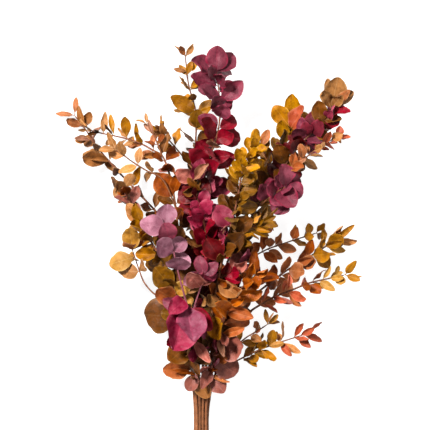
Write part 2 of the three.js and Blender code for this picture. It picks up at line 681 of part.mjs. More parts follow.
// Places every leaf clear of the other branches and of its own, single leaves and front branches first.
// One that finds no room in any of its positions has fallen off.
function placeLeaves(branches) {
  const others = [];
  branches.forEach((branch) => {
    branch.stems.forEach((solid) => others.push({ branch, solid, box: solid.boundingBox() }));
  });
  const clearOf = (other, mine) => {
    if (!boxesMeet(mine.box, other.box, LEAF_CLEAR)) return true;
    if (other.branch !== mine.branch) return mine.solid.minGap(other.solid, LEAF_CLEAR) >= LEAF_CLEAR;
    const shared = mine.solid.intersect(other.solid).volume();
    if (!other.leaf) return shared < ROOT_OVERLAP;
    return shared < (other.leaf.root.distanceTo(mine.leaf.root) < 1 ? PAIR_OVERLAP : LEAST_OVERLAP);
  };
  const place = (branch, leaf) => {
    for (const give of GIVES) {
      const solid = leafSolid(leaf, give);
      if (!solid) continue;
      const mine = { branch, solid, leaf, box: solid.boundingBox() };
      if (others.every((other) => clearOf(other, mine))) {
        others.push(mine);
        return;
      }
    }
  };
  const frontFirst = [...branches].sort((a, b) => b.seat[1] - a.seat[1]);
  for (const single of [true, false]) {
    frontFirst.forEach((branch) =>
      branch.leaves.filter((leaf) => leaf.single === single).forEach((leaf) => place(branch, leaf)),
    );
  }
  return others;
}

// A matt dry surface.
const matt = (color) => new THREE.MeshStandardMaterial({ color, roughness: 0.8, metalness: 0 });

// A branch's solid as a mesh in its leaves' colour.
function meshOf(name, solid, colour) {
  const { vertProperties, triVerts } = solid.getMesh();
  const geometry = new THREE.BufferGeometry()
    .setAttribute("position", new THREE.BufferAttribute(vertProperties, 3))
    .setIndex(new THREE.BufferAttribute(triVerts, 1));
  geometry.computeVertexNormals();
  const mesh = new THREE.Mesh(geometry, matt(colour));
  mesh.name = name;
  return mesh;
}

// The rounded outline of the whole bundle, a given distance outside the corner stems' centres.
function bundleOutline(distance, PathClass) {
  const corners = [seat(1.5, 0), seat(2, 1), seat(1.5, 2), seat(-1.5, 2), seat(-2, 1), seat(-1.5, 0)];
  const angleTo = (a, b) => Math.atan2(b[1] - a[1], b[0] - a[0]) - Math.PI / 2;
  const path = new PathClass();
  corners.forEach((corner, k) => {
    const before = corners[(k + 5) % 6];
    const after = corners[(k + 1) % 6];
    path.absarc(corner[0], corner[1], distance, angleTo(before, corner), angleTo(corner, after), false);
  });
  path.closePath();
  return path;
}

// The band that holds the stems together, lying on its flat underside.
function tieMesh() {
  const inner = STEM_RADIUS + TIE_CLEAR;
  const shape = bundleOutline(inner + TIE_THICK, THREE.Shape);
  shape.holes.push(bundleOutline(inner, THREE.Path));
  const settings = { depth: TIE_WIDTH, bevelEnabled: false, curveSegments: 2 };
  const geometry = new THREE.ExtrudeGeometry(shape, settings);
  geometry.rotateX(Math.PI / 2).translate(0, TIE_WIDTH / 2, 0);
  const mesh = new THREE.Mesh(geometry, matt(0xb59a6a));
  mesh.name = "tie";
  return mesh;
}

// Each branch's stem and side shoots, with a bare foot through its seat in the tie.
let shootNumber = 0;
BRANCHES.forEach((branch) => {
  const [x, z] = branch.seat;
  branch.shoots.forEach((shoot, k) => {
    shootNumber += 1;
    shoot.seed = shootNumber;
    shoot.sides = k === 0 ? STEM_SIDES : SHOOT_SIDES;
    shoot.thick = [k === 0 ? STEM_RADIUS : SHOOT_RADIUS, TIP_RADIUS];
    if (k > 0) return;
    shoot.route.unshift([x, CUT_END_Y, z], [x, 0, z]);
    shoot.from += 2;
    (shoot.own || []).forEach((leaf) => (leaf[0] += 2));
  });
  branch.stems = branch.shoots.map(stemSolid);
  branch.leaves = branch.shoots.flatMap(leavesOf);
});
const placed = placeLeaves(BRANCHES);

const bunch = new THREE.Group();
bunch.name = "dried_eucalyptus_bunch";
BRANCHES.forEach((branch) => {
  const whole = wasm.Manifold.union(placed.filter((p) => p.branch === branch).map((p) => p.solid));
  bunch.add(meshOf(branch.name, whole, branch.colour));
});
bunch.add(tieMesh());

export default bunch;
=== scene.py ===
import itertools
import math
import bpy
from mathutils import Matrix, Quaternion, Vector
from mathutils.bvhtree import BVHTree
from mathutils.kdtree import KDTree


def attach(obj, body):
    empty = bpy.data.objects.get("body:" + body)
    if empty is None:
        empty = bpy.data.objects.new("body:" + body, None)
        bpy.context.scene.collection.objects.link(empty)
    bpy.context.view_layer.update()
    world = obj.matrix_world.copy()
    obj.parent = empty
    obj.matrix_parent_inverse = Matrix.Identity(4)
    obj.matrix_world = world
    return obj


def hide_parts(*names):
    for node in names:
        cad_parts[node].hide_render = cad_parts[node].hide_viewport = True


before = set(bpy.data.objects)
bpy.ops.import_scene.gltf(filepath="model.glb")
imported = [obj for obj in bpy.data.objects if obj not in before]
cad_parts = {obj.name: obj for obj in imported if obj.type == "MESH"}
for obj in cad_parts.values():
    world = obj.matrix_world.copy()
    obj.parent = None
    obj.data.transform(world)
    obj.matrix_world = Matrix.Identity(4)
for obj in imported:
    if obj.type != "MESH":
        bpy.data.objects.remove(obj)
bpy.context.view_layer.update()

# A bunch of dried eucalyptus that lies on a pale floor, seen from straight above. The frame gives each
# leafy branch as a faceted solid and the tie as a band. Here each branch becomes fine crinkled blades
# on barked twigs, and the band becomes wound jute twine. Sizes are in millimetres unless a name or a
# comment says otherwise, and MM turns them to the scene's metres.
MM = 0.001

# Stems, as in the frame
STEM_RADIUS = 2.5  # at the cut end
SHOOT_RADIUS = 1.4  # a side shoot where it leaves its branch
TIP_RADIUS = 1.0
CUT_END_Y = -52.0  # the tie is at Y 0

# The tied bundle, as in the frame: three rows of stems, the back row lowest
STEM_PITCH = 5.1
ROW_RISE = 4.45
BACK_ROW_Z = 4.0
TIE_CLEAR = 0.35  # between the stems and the twine
TIE_THICK = BACK_ROW_Z - STEM_RADIUS - TIE_CLEAR
TIE_WIDTH = 9.0

# Leaves, as in the frame
FRAME_BLADE = 0.8  # thickness of the frame's blades
NECK_WIDE = 1.3  # the short stalk between stem and blade
NECK_OUT = 1.8  # how far it stands out of the stem
CORNERS_AT = (0.32, 0.74)  # where along a blade the frame's outline has its corners
LARGE_LEAF = 49.0  # from this length on it has them at these places
LARGE_CORNERS_AT = (0.2, 0.5, 0.84)
MOST_FOLD = 58.0  # degrees
WIDEST = (0.76, 1.25)  # an exponent under 1 moves a blade's widest place towards the root
TIP_BLUNT = 0.56  # the smaller, the rounder a blade's tip
ROOT_BLUNT = (1.05, 0.5)  # the same for its root, on a leaf of no width and on one as wide as it is long
ROOT_BLUNT_RANGE = (0.52, 0.92)
NEARLY_TIP = 0.9999  # where the outline ends, as rounding could take it below nought at the tip
AROUND_SPREAD = (-24, 24)  # degrees that a leaf may stray round the stem
OPEN_SPREAD = (-12, 12)  # and away from it
CURL = (-0.65, 1.05)  # radians that a blade bends by from root to tip
LEAST_CURL = 0.05  # as a straight blade would have no radius
TWIST = (-0.6, 0.6)  # radians that it turns about its rib on the way
WAVE = (0.01, 0.07)  # height of the waves in its edge, as a share of its length
WAVES = 1.5  # from root to tip
WAVE_SHIFT = 0.25  # of a wave, by which its one edge is ahead and the other behind
LEAST_LIGHT = 0.15  # a leaf that points nearly straight up turns its face to its stem instead
ROLL = 22  # degrees that a shoot's last pair is turned about it, unless the shoot says otherwise
LENGTH_SPREAD = (0.84, 1.08)
WIDTH_SPREAD = (0.85, 1.12)
FOLD_SPREAD = (0.3, 1.9)
HUE_STRAY = 0.3  # how far a leaf's colour may stray among its shoot's, in steps from one to the next

# Leaves of these colours are the softest, and dry the most ruffled
RUFFLED = {"magenta": 1.7, "orchid": 1.7, "rose": 1.4, "mauve": 1.2, "salmon": 1.3}

# The dyed and dried leaf colours, sRGB: the blade, its blotches and its dry rim
HUES = {
    "lilac": (0xA87080, 0x884E5E, 0xB88490),
    "orchid": (0x9C5266, 0x7E2E44, 0xAC3C58),
    "mauve": (0x904856, 0x682A38, 0xA43850),
    "plum": (0x863C4A, 0x5A202E, 0xA23048),
    "wine": (0x762C36, 0x4A141C, 0x943040),
    "rose": (0xA84458, 0x802438, 0xC0626E),
    "magenta": (0xA0384E, 0x801830, 0xB84C62),
    "crimson": (0x8E1828, 0x5E0814, 0xA82C38),
    "maroon": (0x64161A, 0x400A0C, 0x86322E),
    "salmon": (0xC07466, 0x9A4E46, 0xD49484),
    "coral": (0xC46248, 0x98422C, 0xD88A64),
    "terracotta": (0xB8663E, 0x8E4626, 0xD08E5E),
    "orange": (0xC4682A, 0x984618, 0xDC965A),
    "rust": (0x9A4A1E, 0x6C2E10, 0xB8703C),
    "rust_tan": (0xB87048, 0x8C5030, 0xCE966C),
    "pink_tan": (0xB27C62, 0x8C5642, 0xCA9E82),
    "peach": (0xD8945E, 0xB6723E, 0xE8B888),
    "tan": (0xB07A4C, 0x865830, 0xCCA074),
    "tan_brown": (0xA46A3E, 0x784826, 0xC08C5C),
    "brown": (0x7A461E, 0x52300F, 0x9C6A38),
    "dark_brown": (0x4C2A10, 0x301808, 0x724822),
    "mauve_brown": (0xA46052, 0x7A443E, 0xBC7E70),
    "khaki": (0xC8924A, 0xA06C2A, 0xDAB272),
    "ochre": (0xB87824, 0x8A5412, 0xD29E50),
    "mustard": (0xB2700E, 0x824C08, 0xC88E32),
    "gold": (0xC88614, 0x985C0A, 0xDCA644),
    "olive": (0x88581E, 0x5E3A10, 0xA87E3C),
}

# Each branch's seat in the tie, as a column and a row
SEATS = {
    "amber_branch_left": (-1.5, 0),
    "mustard_branch_top": (-0.5, 0),
    "gold_branch_right": (0.5, 0),
    "ochre_branch_right": (1.5, 0),
    "copper_branch_left": (-2, 1),
    "crimson_branch_heart": (-1, 1),
    "purple_branch_top": (0, 1),
    "wine_branch_right": (1, 1),
    "rust_branch_low_right": (2, 1),
    "tan_branch_left": (-1.5, 2),
    "lilac_branch_front": (-0.5, 2),
    "olive_branch_front": (0.5, 2),
    "terracotta_branch_front": (1.5, 2),
}

# The shoots, branch by branch. The first one of a branch is its own stem. A shoot's route starts in its
# branch and ends at its tip. Leaf pairs stand on it from the point number "start", every gap[0] mm at
# first and gap[1] mm at the tip. long and wide are the leaves' length and width there too, open is the
# pairs' angle to the stem, face is how far a blade is turned up to the light, from 0 to 1, fold closes
# its halves, and roll turns the last pair about the stem. hues are the pairs' colours from first to
# last. own lists single leaves: point number, direction, length, width, face, fold and colour. The
# frame leaves out the smaller leaves: crowd is how many pairs of them stand in each gap between the
# pairs, and small lists single ones.
SHOOTS = [
    dict(
        branch="amber_branch_left",
        route=[
            (-8, 60, 7), (-14, 130, 14), (-22, 210, 21), (-32, 290, 24), (-50, 345, 25), (-72, 373, 25),
            (-100, 403, 24), (-123, 427, 22), (-153, 460, 19), (-174, 486, 17), (-190, 510, 15),
            (-208, 533, 14),
        ],
        start=4.4, gap=(27, 24), long=(42, 34), wide=(24, 12), open=(68, 46), face=(0.35, 1), fold=25,
        hues="brown tan_brown mustard tan tan_brown tan pink_tan tan_brown rust_tan",
        own=[
            (7.9, (-1, 0.2, 0.1), 50, 30, 1, 18, "tan_brown"),
            (8.9, (-0.72, 0.45, -0.53), 36, 22, 1, 8, "tan_brown"),
            (6.5, (-0.35, -0.72, -0.6), 42, 26, 1, 8, "tan"),
        ],
        small=[
            (10.2, (-0.93, 0.3, 0.15), 34, 16, 0.95, 14, "rust_tan"),
            (10.1, (0.35, 0.9, 0.2), 30, 17, 0.95, 14, "tan_brown"),
            (9.5, (-0.93, -0.3, 0.15), 26, 15, 0.95, 14, "tan_brown"),
            (6.9, (-0.6, -0.7, 0.2), 34, 24, 0.95, 14, "tan"),
        ],
    ),
    dict(
        branch="mustard_branch_top",
        route=[
            (-2.7, 60, 7), (-5, 130, 14), (-8, 210, 20), (-12, 290, 23), (-12, 370, 25), (-10, 440, 26),
            (-9, 490, 26), (-8, 530, 25), (-13, 555, 24), (-19, 575, 23), (-23, 597, 22), (-26, 630, 21),
        ],
        start=5.5, gap=(24, 22), long=(44, 25), wide=(28, 9), open=(62, 42), face=(0.4, 1), fold=25,
        hues="brown tan_brown olive mustard mustard ochre mustard tan",
        own=[
            (7.3, (-0.86, 0.5, 0.1), 50, 26, 1, 12, "mustard"),
            (7.1, (0.93, 0.35, 0.1), 32, 12, 0.9, 20, "ochre"),
        ],
        small=[
            (10.9, (-0.5, 0.84, 0.15), 26, 12, 0.95, 20, "rust_tan"),
            (10.9, (0.6, 0.78, 0.15), 24, 11, 0.95, 20, "tan"),
            (10.3, (0.9, 0.35, 0.2), 20, 16, 0.95, 14, "ochre"),
            (10.2, (-0.95, 0.2, 0.2), 22, 9, 0.95, 14, "tan_brown"),
            (9.3, (-0.85, 0.5, 0.15), 24, 8, 0.95, 20, "tan_brown"),
            (9.1, (0.92, 0.3, 0.15), 20, 8, 0.95, 20, "ochre"),
            (6.4, (0.7, 0.6, 0.3), 30, 24, 0.95, 14, "gold"),
        ],
    ),
    dict(
        branch="mustard_branch_top",
        route=[
            (-11, 441, 26), (-30, 465, 32), (-46, 484, 36), (-60, 500, 37), (-66, 508, 37),
        ],
        start=1.8, gap=(18, 16), long=(34, 27), wide=(18, 9), open=(60, 42), face=(0.5, 1), fold=25,
        crowd=1,
        hues="mustard tan_brown mustard",
    ),
    dict(
        branch="gold_branch_right",
        route=[
            (2.8, 60, 7), (9, 130, 15), (22, 210, 22), (42, 290, 27), (68, 355, 29), (98, 415, 29),
            (112, 445, 28), (125, 470, 26), (137, 492, 24), (146, 512, 22), (152, 524, 21),
        ],
        start=4.3, gap=(28, 20), long=(40, 50), wide=(26, 33), open=(62, 35), face=(0.6, 1), fold=18,
        crowd=1,
        hues="rust olive mustard tan olive gold coral gold",
        own=[
            (8.4, (0.78, 0.25, -0.57), 46, 30, 1, 8, "maroon"),
            (9, (-0.62, 0.77, 0.1), 46, 31, 1, 12, "ochre"),
        ],
    ),
    dict(
        branch="gold_branch_right",
        route=[
            (42, 290, 28), (62, 295, 30), (84, 302, 31), (108, 314, 30), (131, 322, 27), (155, 330, 24),
            (172, 335, 21), (188, 340, 18),
        ],
        start=1.4, gap=(25, 19), long=(38, 23), wide=(24, 14), open=(64, 45), face=(0.2, 1), fold=22,
        hues="rust_tan terracotta rust_tan ochre mustard mustard",
        small=[
            (3.1, (0.1, 0.97, 0.25), 28, 18, 0.95, 14, "rust_tan"),
            (3.5, (0.35, 0.92, 0.25), 30, 10, 0.9, 30, "rust_tan"),
            (4.7, (0.3, 0.9, 0.3), 28, 19, 0.9, 30, "terracotta"),
            (3, (0.8, -0.5, 0.25), 30, 16, 0.95, 14, "rust_tan"),
            (6.3, (-0.1, 0.96, 0.25), 20, 14, 0.95, 14, "mustard"),
        ],
    ),
    dict(
        branch="gold_branch_right",
        route=[
            (112, 445, 28), (105, 462, 38), (98, 480, 45),
        ],
        start=0.9, gap=(19, 16), long=(42, 30), wide=(25, 18), open=(66, 40), face=(0.7, 1), fold=18,
        roll=10, crowd=1,
        hues="tan mustard rust_tan",
    ),
    dict(
        branch="ochre_branch_right",
        route=[
            (8.4, 60, 7), (20, 120, 13), (45, 180, 18), (78, 230, 22), (118, 263, 23), (150, 286, 21),
            (183, 305, 18), (205, 319, 16), (214, 326, 15),
        ],
        start=2.5, gap=(30, 24), long=(48, 40), wide=(31, 15), open=(58, 36), face=(0.2, 1), fold=30,
        hues="rust_tan terracotta rust_tan terracotta ochre ochre peach",
        own=[
            (6.2, (0.5, -0.55, -0.67), 38, 24, 1, 8, "ochre"),
            (4.3, (0.3, -0.7, -0.65), 42, 28, 1, 8, "rust_tan"),
        ],
        small=[
            (4.7, (0.95, -0.1, 0.3), 42, 30, 0.95, 14, "rust_tan"),
            (5.9, (0.78, 0.1, 0.35), 42, 28, 0.95, 14, "ochre"),
            (5.7, (0.2, 0.9, 0.3), 34, 18, 0.9, 30, "rust"),
            (8, (0.6, 0.78, 0.2), 50, 16, 0.9, 40, "ochre"),
            (6.6, (-0.1, 0.98, 0.2), 42, 13, 0.9, 34, "ochre"),
            (5.2, (0.95, 0.1, 0.4), 48, 26, 0.95, 14, "rust_tan"),
            (6.9, (0.75, 0.6, 0.35), 38, 28, 0.95, 20, "ochre"),
            (7, (0.92, -0.2, 0.35), 40, 20, 0.95, 30, "khaki"),
        ],
    ),
    dict(
        branch="copper_branch_left",
        route=[
            (-10.8, 60, 13), (-17, 130, 28), (-24, 210, 46), (-32, 290, 58), (-38, 360, 66), (-45, 410, 70),
            (-52, 440, 70), (-62, 464, 68), (-78, 474, 64), (-100, 486, 60), (-122, 493, 56),
            (-158, 501, 50), (-181, 507, 46),
        ],
        start=7.1, gap=(26, 25), long=(36, 28), wide=(18, 9), open=(66, 44), face=(0.4, 1), fold=25,
        crowd=1,
        hues="tan_brown rust_tan mustard tan dark_brown tan",
        own=[
            (4.7, (-0.55, 0.72, 0.15), 48, 38, 1, 12, "rust"),
            (5, (0.2, 0.9, 0.35), 46, 38, 1, 15, "rose"),
            (5.2, (-0.7, 0.5, 0.6), 50, 20, 0.9, 38, "peach"),
            (5.4, (0.8, 0.45, 0.2), 42, 28, 0.9, 20, "ochre"),
            (4.2, (0.85, 0.35, 0.4), 40, 30, 0.9, 18, "crimson"),
            (4, (-0.85, 0.3, 0.3), 42, 28, 0.9, 18, "rust"),
            (9.9, (-0.05, 0.99, 0.15), 40, 18, 1, 14, "mustard"),
            (9.2, (0.08, 0.98, 0.15), 38, 9, 0.9, 30, "ochre"),
            (10.5, (-0.2, 0.96, 0.2), 36, 11, 0.9, 30, "ochre"),
            (11, (0.1, 0.97, 0.2), 36, 13, 1, 20, "tan"),
        ],
    ),
    dict(
        branch="copper_branch_left",
        route=[
            (-62, 464, 68), (-68, 480, 73), (-76, 498, 75), (-86, 514, 76),
        ],
        start=1.1, gap=(18, 15), long=(26, 22), wide=(10, 8), open=(50, 36), face=(0.4, 1), fold=30,
        hues="rust pink_tan tan",
    ),
    dict(
        branch="copper_branch_left",
        route=[
            (-40, 380, 68), (-60, 425, 82), (-88, 441, 83), (-110, 455, 81), (-126, 467, 79),
            (-136, 473, 78),
        ],
        start=1.6, gap=(22, 17), long=(34, 31), wide=(19, 15), open=(66, 44), face=(0.5, 1), fold=22,
        hues="tan peach tan",
    ),
    dict(
        branch="crimson_branch_heart",
        route=[
            (-5.3, 60, 13), (-4, 130, 29), (0, 210, 49), (4, 280, 66), (8, 330, 78), (2, 370, 87),
            (-6, 400, 92), (-12, 424, 94),
        ],
        start=2.6, gap=(19, 17), long=(43, 35), wide=(33, 29), open=(70, 46), face=(0.5, 1), fold=20,
        crowd=3,
        hues="crimson maroon crimson rose magenta maroon brown salmon",
        own=[
            (2.3, (0.65, 0.7, 0.3), 42, 32, 0.9, 15, "crimson"),
            (2.4, (-0.7, 0.65, 0.2), 44, 32, 0.9, 15, "maroon"),
            (1.6, (0.8, 0.3, 0.5), 40, 26, 0.8, 20, "rose"),
        ],
        small=[
            (3.7, (-0.75, 0.6, 0.35), 44, 18, 0.8, 50, "tan_brown"),
            (6.8, (-0.8, 0.4, 0.5), 42, 30, 0.9, 30, "rust"),
            (7, (0.6, 0.6, 0.5), 44, 22, 0.9, 44, "pink_tan"),
            (7, (-0.3, 0.9, 0.4), 46, 34, 0.9, 24, "rose"),
            (3.4, (-0.65, 0.7, 0.5), 42, 14, 0.8, 54, "rust_tan"),
        ],
    ),
    dict(
        branch="crimson_branch_heart",
        route=[
            (4, 285, 67), (22, 315, 84), (36, 342, 92), (44, 366, 95), (46, 380, 96),
        ],
        start=0.9, gap=(18, 16), long=(42, 36), wide=(32, 28), open=(68, 44), face=(0.5, 1), fold=18,
        crowd=3,
        hues="crimson rose dark_brown brown",
        small=[
            (1.5, (0.8, 0.5, 0.4), 34, 24, 0.9, 30, "rose"),
            (2.2, (-0.4, 0.85, 0.4), 32, 24, 0.9, 30, "salmon"),
        ],
    ),
    dict(
        branch="crimson_branch_heart",
        route=[
            (2, 238, 56), (24, 262, 74), (46, 278, 82), (62, 288, 84),
        ],
        start=1, gap=(19, 17), long=(45, 40), wide=(29, 21), open=(62, 40), face=(0.5, 1), fold=22, crowd=1,
        hues="maroon crimson salmon mauve",
    ),
    dict(
        branch="purple_branch_top",
        route=[
            (0.2, 60, 13), (3, 130, 27), (5, 210, 42), (6, 290, 52), (4, 370, 60), (6, 430, 66),
            (14, 462, 70), (22, 485, 73), (28, 508, 74), (31, 540, 75), (28, 572, 75), (25, 598, 76),
        ],
        start=4.6, gap=(24, 23), long=(48, 48), wide=(36, 37), open=(70, 60), face=(0.65, 1), fold=15,
        crowd=1,
        hues="rose crimson crimson crimson plum mauve plum plum",
        own=[
            (11, (0.02, 1, 0.1), 42, 38, 1, 8, "plum"),
            (10.1, (-0.93, 0.3, 0.2), 50, 30, 1, 10, "plum"),
        ],
        small=[
            (6.6, (0.35, 0.88, 0.35), 34, 30, 1, 14, "pink_tan"),
            (7.2, (0.9, 0.3, 0.3), 36, 30, 0.95, 14, "crimson"),
        ],
    ),
    dict(
        branch="wine_branch_right",
        route=[
            (5.6, 60, 13), (14, 130, 26), (28, 210, 41), (50, 290, 53), (78, 360, 63), (104, 405, 70),
            (128, 440, 76), (150, 472, 80), (171, 495, 82), (188, 511, 83), (202, 528, 84), (210, 544, 85),
        ],
        start=6.3, gap=(23, 17), long=(44, 38), wide=(31, 27), open=(62, 46), face=(0.5, 1), fold=18,
        crowd=2,
        hues="brown maroon mauve wine brown crimson rose tan",
        own=[
            (4.1, (0.75, -0.5, 0.2), 40, 30, 0.9, 14, "coral"),
            (4.6, (-0.7, 0.5, 0.3), 42, 30, 0.9, 14, "maroon"),
            (3, (0.6, 0.75, 0.25), 48, 38, 0.9, 14, "brown"),
            (10.8, (0.15, 0.97, 0.15), 52, 38, 1, 10, "tan"),
        ],
        small=[
            (10.6, (-0.5, 0.86, 0.1), 40, 20, 0.95, 14, "tan"),
            (10.6, (0.62, 0.78, 0.1), 40, 20, 0.95, 14, "tan"),
            (10.9, (-0.18, 0.97, 0.3), 46, 18, 0.95, 16, "tan"),
            (10.9, (0.42, 0.9, 0.28), 44, 18, 0.95, 16, "rust_tan"),
            (10.2, (-0.9, 0.4, 0.1), 28, 20, 0.95, 14, "rust_tan"),
        ],
    ),
    dict(
        branch="wine_branch_right",
        route=[
            (90, 382, 67), (108, 396, 84), (124, 408, 95), (134, 414, 102),
        ],
        start=1, gap=(14, 11), long=(42, 40), wide=(38, 35), open=(76, 54), face=(0.5, 1), fold=16, crowd=2,
        hues="mauve plum mauve mauve",
    ),
    dict(
        branch="wine_branch_right",
        route=[
            (104, 405, 70), (124, 424, 90), (140, 442, 97), (155, 453, 98), (172, 465, 97), (190, 479, 94),
            (206, 488, 91), (216, 492, 89),
        ],
        start=2.2, gap=(20, 15), long=(33, 22), wide=(18, 16), open=(64, 46), face=(0.3, 1), fold=20,
        crowd=1,
        hues="terracotta rust_tan tan coral peach coral",
    ),
    dict(
        branch="rust_branch_low_right",
        route=[
            (10.9, 50, 12), (20, 100, 21), (42, 155, 36), (70, 205, 47), (108, 232, 51), (132, 243, 51),
            (155, 252, 50), (172, 259, 49), (192, 264, 47), (212, 268, 46), (233, 273, 45),
        ],
        start=3.7, gap=(23, 21), long=(35, 29), wide=(18, 12), open=(64, 40), face=(0.1, 1), fold=24,
        hues="coral rust_tan coral rust ochre khaki ochre",
        small=[
            (5, (0.1, 0.96, 0.25), 32, 9, 0.9, 34, "coral"),
            (5.3, (0.85, -0.35, 0.35), 44, 18, 0.95, 20, "coral"),
            (7, (0.6, -0.5, 0.4), 30, 20, 0.95, 14, "rust"),
            (7.9, (0.75, -0.45, 0.4), 32, 15, 0.95, 14, "khaki"),
            (8.2, (0.25, 0.93, 0.25), 28, 10, 0.9, 30, "khaki"),
            (9, (0.85, -0.3, 0.35), 32, 16, 0.95, 14, "khaki"),
            (9.2, (0.2, 0.94, 0.25), 24, 9, 0.9, 30, "khaki"),
            (10, (0.5, 0.84, 0.2), 24, 13, 0.95, 14, "khaki"),
            (10, (0.9, -0.35, 0.2), 26, 14, 0.95, 14, "ochre"),
            (4.3, (0.9, -0.25, 0.3), 34, 11, 0.95, 20, "salmon"),
        ],
    ),
    dict(
        branch="rust_branch_low_right",
        route=[
            (24, 105, 22), (45, 125, 31), (70, 139, 35), (88, 148, 36), (108, 156, 36), (128, 163, 36),
            (150, 170, 36), (166, 175, 36),
        ],
        start=1.9, gap=(22, 19), long=(38, 36), wide=(17, 13), open=(58, 38), face=(0.3, 1), fold=26,
        hues="mustard olive ochre peach coral coral",
        small=[
            (3.4, (0.75, -0.55, 0.35), 44, 16, 0.95, 24, "mustard"),
            (2.6, (0.4, -0.85, 0.35), 30, 19, 0.95, 14, "mustard"),
            (3.2, (0.25, 0.93, 0.25), 28, 17, 0.95, 16, "mustard"),
            (4.2, (0.2, 0.94, 0.25), 28, 17, 0.95, 16, "ochre"),
            (4.9, (0.1, 0.95, 0.3), 20, 15, 0.95, 20, "peach"),
            (5, (0.6, -0.7, 0.35), 30, 13, 0.95, 20, "coral"),
            (6, (0.45, 0.86, 0.25), 38, 12, 0.9, 34, "coral"),
            (6.5, (0.8, 0.5, 0.3), 32, 14, 0.9, 34, "coral"),
            (6.4, (0.7, -0.6, 0.3), 28, 15, 0.9, 20, "coral"),
        ],
    ),
    dict(
        branch="rust_branch_low_right",
        route=[
            (38, 146, 34), (60, 161, 42), (75, 173, 46), (92, 183, 48), (107, 193, 49),
        ],
        start=1.2, gap=(20, 17), long=(30, 25), wide=(14, 11), open=(60, 38), face=(0.3, 1), fold=26,
        hues="mustard rust mustard tan_brown",
        small=[
            (4, (0.1, 0.97, 0.2), 26, 10, 0.9, 30, "mustard"),
            (4, (0.65, 0.72, 0.2), 24, 10, 0.9, 30, "mustard"),
            (3, (-0.4, 0.85, 0.3), 24, 12, 0.95, 20, "rust_tan"),
            (2.2, (0.8, -0.4, 0.35), 26, 15, 0.95, 14, "tan_brown"),
        ],
    ),
    dict(
        branch="tan_branch_left",
        route=[
            (-8, 60, 19), (-16, 130, 40), (-30, 200, 64), (-44, 250, 78), (-58, 290, 83), (-78, 325, 82),
            (-92, 350, 78), (-100, 363, 75), (-112, 385, 70), (-119, 403, 67), (-123, 413, 66),
        ],
        start=3.9, gap=(22, 20), long=(43, 34), wide=(30, 21), open=(64, 44), face=(0.5, 1), fold=18,
        crowd=1,
        hues="olive mustard ochre peach mauve_brown rust tan",
        own=[
            (2.1, (-1, 0.05, 0.05), 64, 60, 1, 8, "brown"),
            (3.1, (0.75, 0.4, 0.1), 60, 50, 1, 14, "tan_brown"),
            (3, (-0.5, 0.8, 0.2), 50, 38, 0.95, 18, "olive"),
            (1.4, (-0.6, -0.5, 0.3), 46, 40, 0.9, 12, "brown"),
            (2.3, (0.1, 0.9, 0.3), 58, 48, 0.95, 16, "olive"),
            (1.6, (0.8, -0.2, 0.1), 52, 44, 1, 12, "olive"),
            (0.9, (-0.9, -0.1, 0.1), 48, 36, 1, 12, "terracotta"),
            (2.6, (-0.8, 0.5, 0.4), 46, 34, 0.9, 16, "terracotta"),
        ],
    ),
    dict(
        branch="tan_branch_left",
        route=[
            (-40, 232, 74), (-58, 236, 84), (-75, 245, 86), (-90, 262, 84), (-98, 281, 81), (-104, 298, 79),
            (-109, 313, 78),
        ],
        start=3.9, gap=(24, 22), long=(38, 34), wide=(25, 22), open=(60, 40), face=(0.8, 1), fold=12,
        roll=70, crowd=1,
        hues="tan mustard rust_tan",
        own=[
            (5.9, (-0.12, 0.98, 0.15), 46, 30, 1, 8, "khaki"),
            (5.3, (-0.93, -0.3, 0.1), 44, 33, 1, 8, "khaki"),
        ],
    ),
    dict(
        branch="lilac_branch_front",
        route=[
            (-2.7, 60, 20), (-6, 110, 36), (-11, 150, 54), (-16, 190, 76), (-22, 226, 95), (-30, 258, 104),
            (-36, 282, 109), (-42, 310, 113), (-48, 331, 114), (-56, 349, 113),
        ],
        start=6, gap=(24, 20), long=(42, 38), wide=(40, 32), open=(46, 44), face=(0.9, 1), fold=8,
        hues="lilac lilac mauve lilac",
        own=[
            (4, (-0.28, -0.95, 0.05), 76, 66, 0.95, 28, "magenta"),
            (4.1, (0.2, -0.96, 0.28), 72, 54, 0.9, 26, "orchid"),
            (3.7, (-0.9, 0.45, 0.2), 46, 28, 0.8, 25, "mauve"),
            (1.1, (-0.4, -0.75, 0.1), 34, 24, 0.8, 15, "mauve_brown"),
            (3.8, (0.75, -0.6, 0.1), 50, 36, 0.9, 18, "crimson"),
            (2.5, (0.6, -0.75, 0.3), 52, 20, 0.9, 26, "salmon"),
            (1.5, (0.7, 0.5, 0.5), 46, 30, 0.9, 20, "tan"),
            (0.85, (0.45, -0.8, 0.25), 36, 28, 0.95, 14, "tan_brown"),
            (5, (0.8, 0.5, -0.1), 36, 26, 0.8, 18, "lilac"),
        ],
        small=[
            (2.7, (-0.86, -0.5, 0.1), 54, 34, 0.9, 22, "crimson"),
            (2.2, (0.5, -0.85, 0.15), 30, 20, 0.9, 24, "magenta"),
            (3.4, (0.3, -0.85, 0.5), 44, 26, 0.8, 40, "orchid"),
            (4.3, (-0.6, -0.5, 0.65), 40, 34, 0.8, 30, "magenta"),
            (1, (-0.93, 0.2, 0.35), 48, 12, 0.8, 48, "rust"),
            (0.85, (-0.97, 0.05, 0.3), 42, 10, 0.8, 48, "rust_tan"),
        ],
    ),
    dict(
        branch="lilac_branch_front",
        route=[
            (-17, 200, 83), (-8, 232, 97), (0, 256, 102), (5, 274, 104),
        ],
        start=2, gap=(16, 14), long=(50, 36), wide=(34, 26), open=(60, 40), face=(0.9, 1), fold=14, roll=0,
        crowd=1,
        hues="salmon rose mauve",
    ),
    dict(
        branch="olive_branch_front",
        route=[
            (2.8, 60, 19), (8, 130, 37), (16, 200, 60), (28, 270, 81), (42, 330, 96), (52, 370, 101),
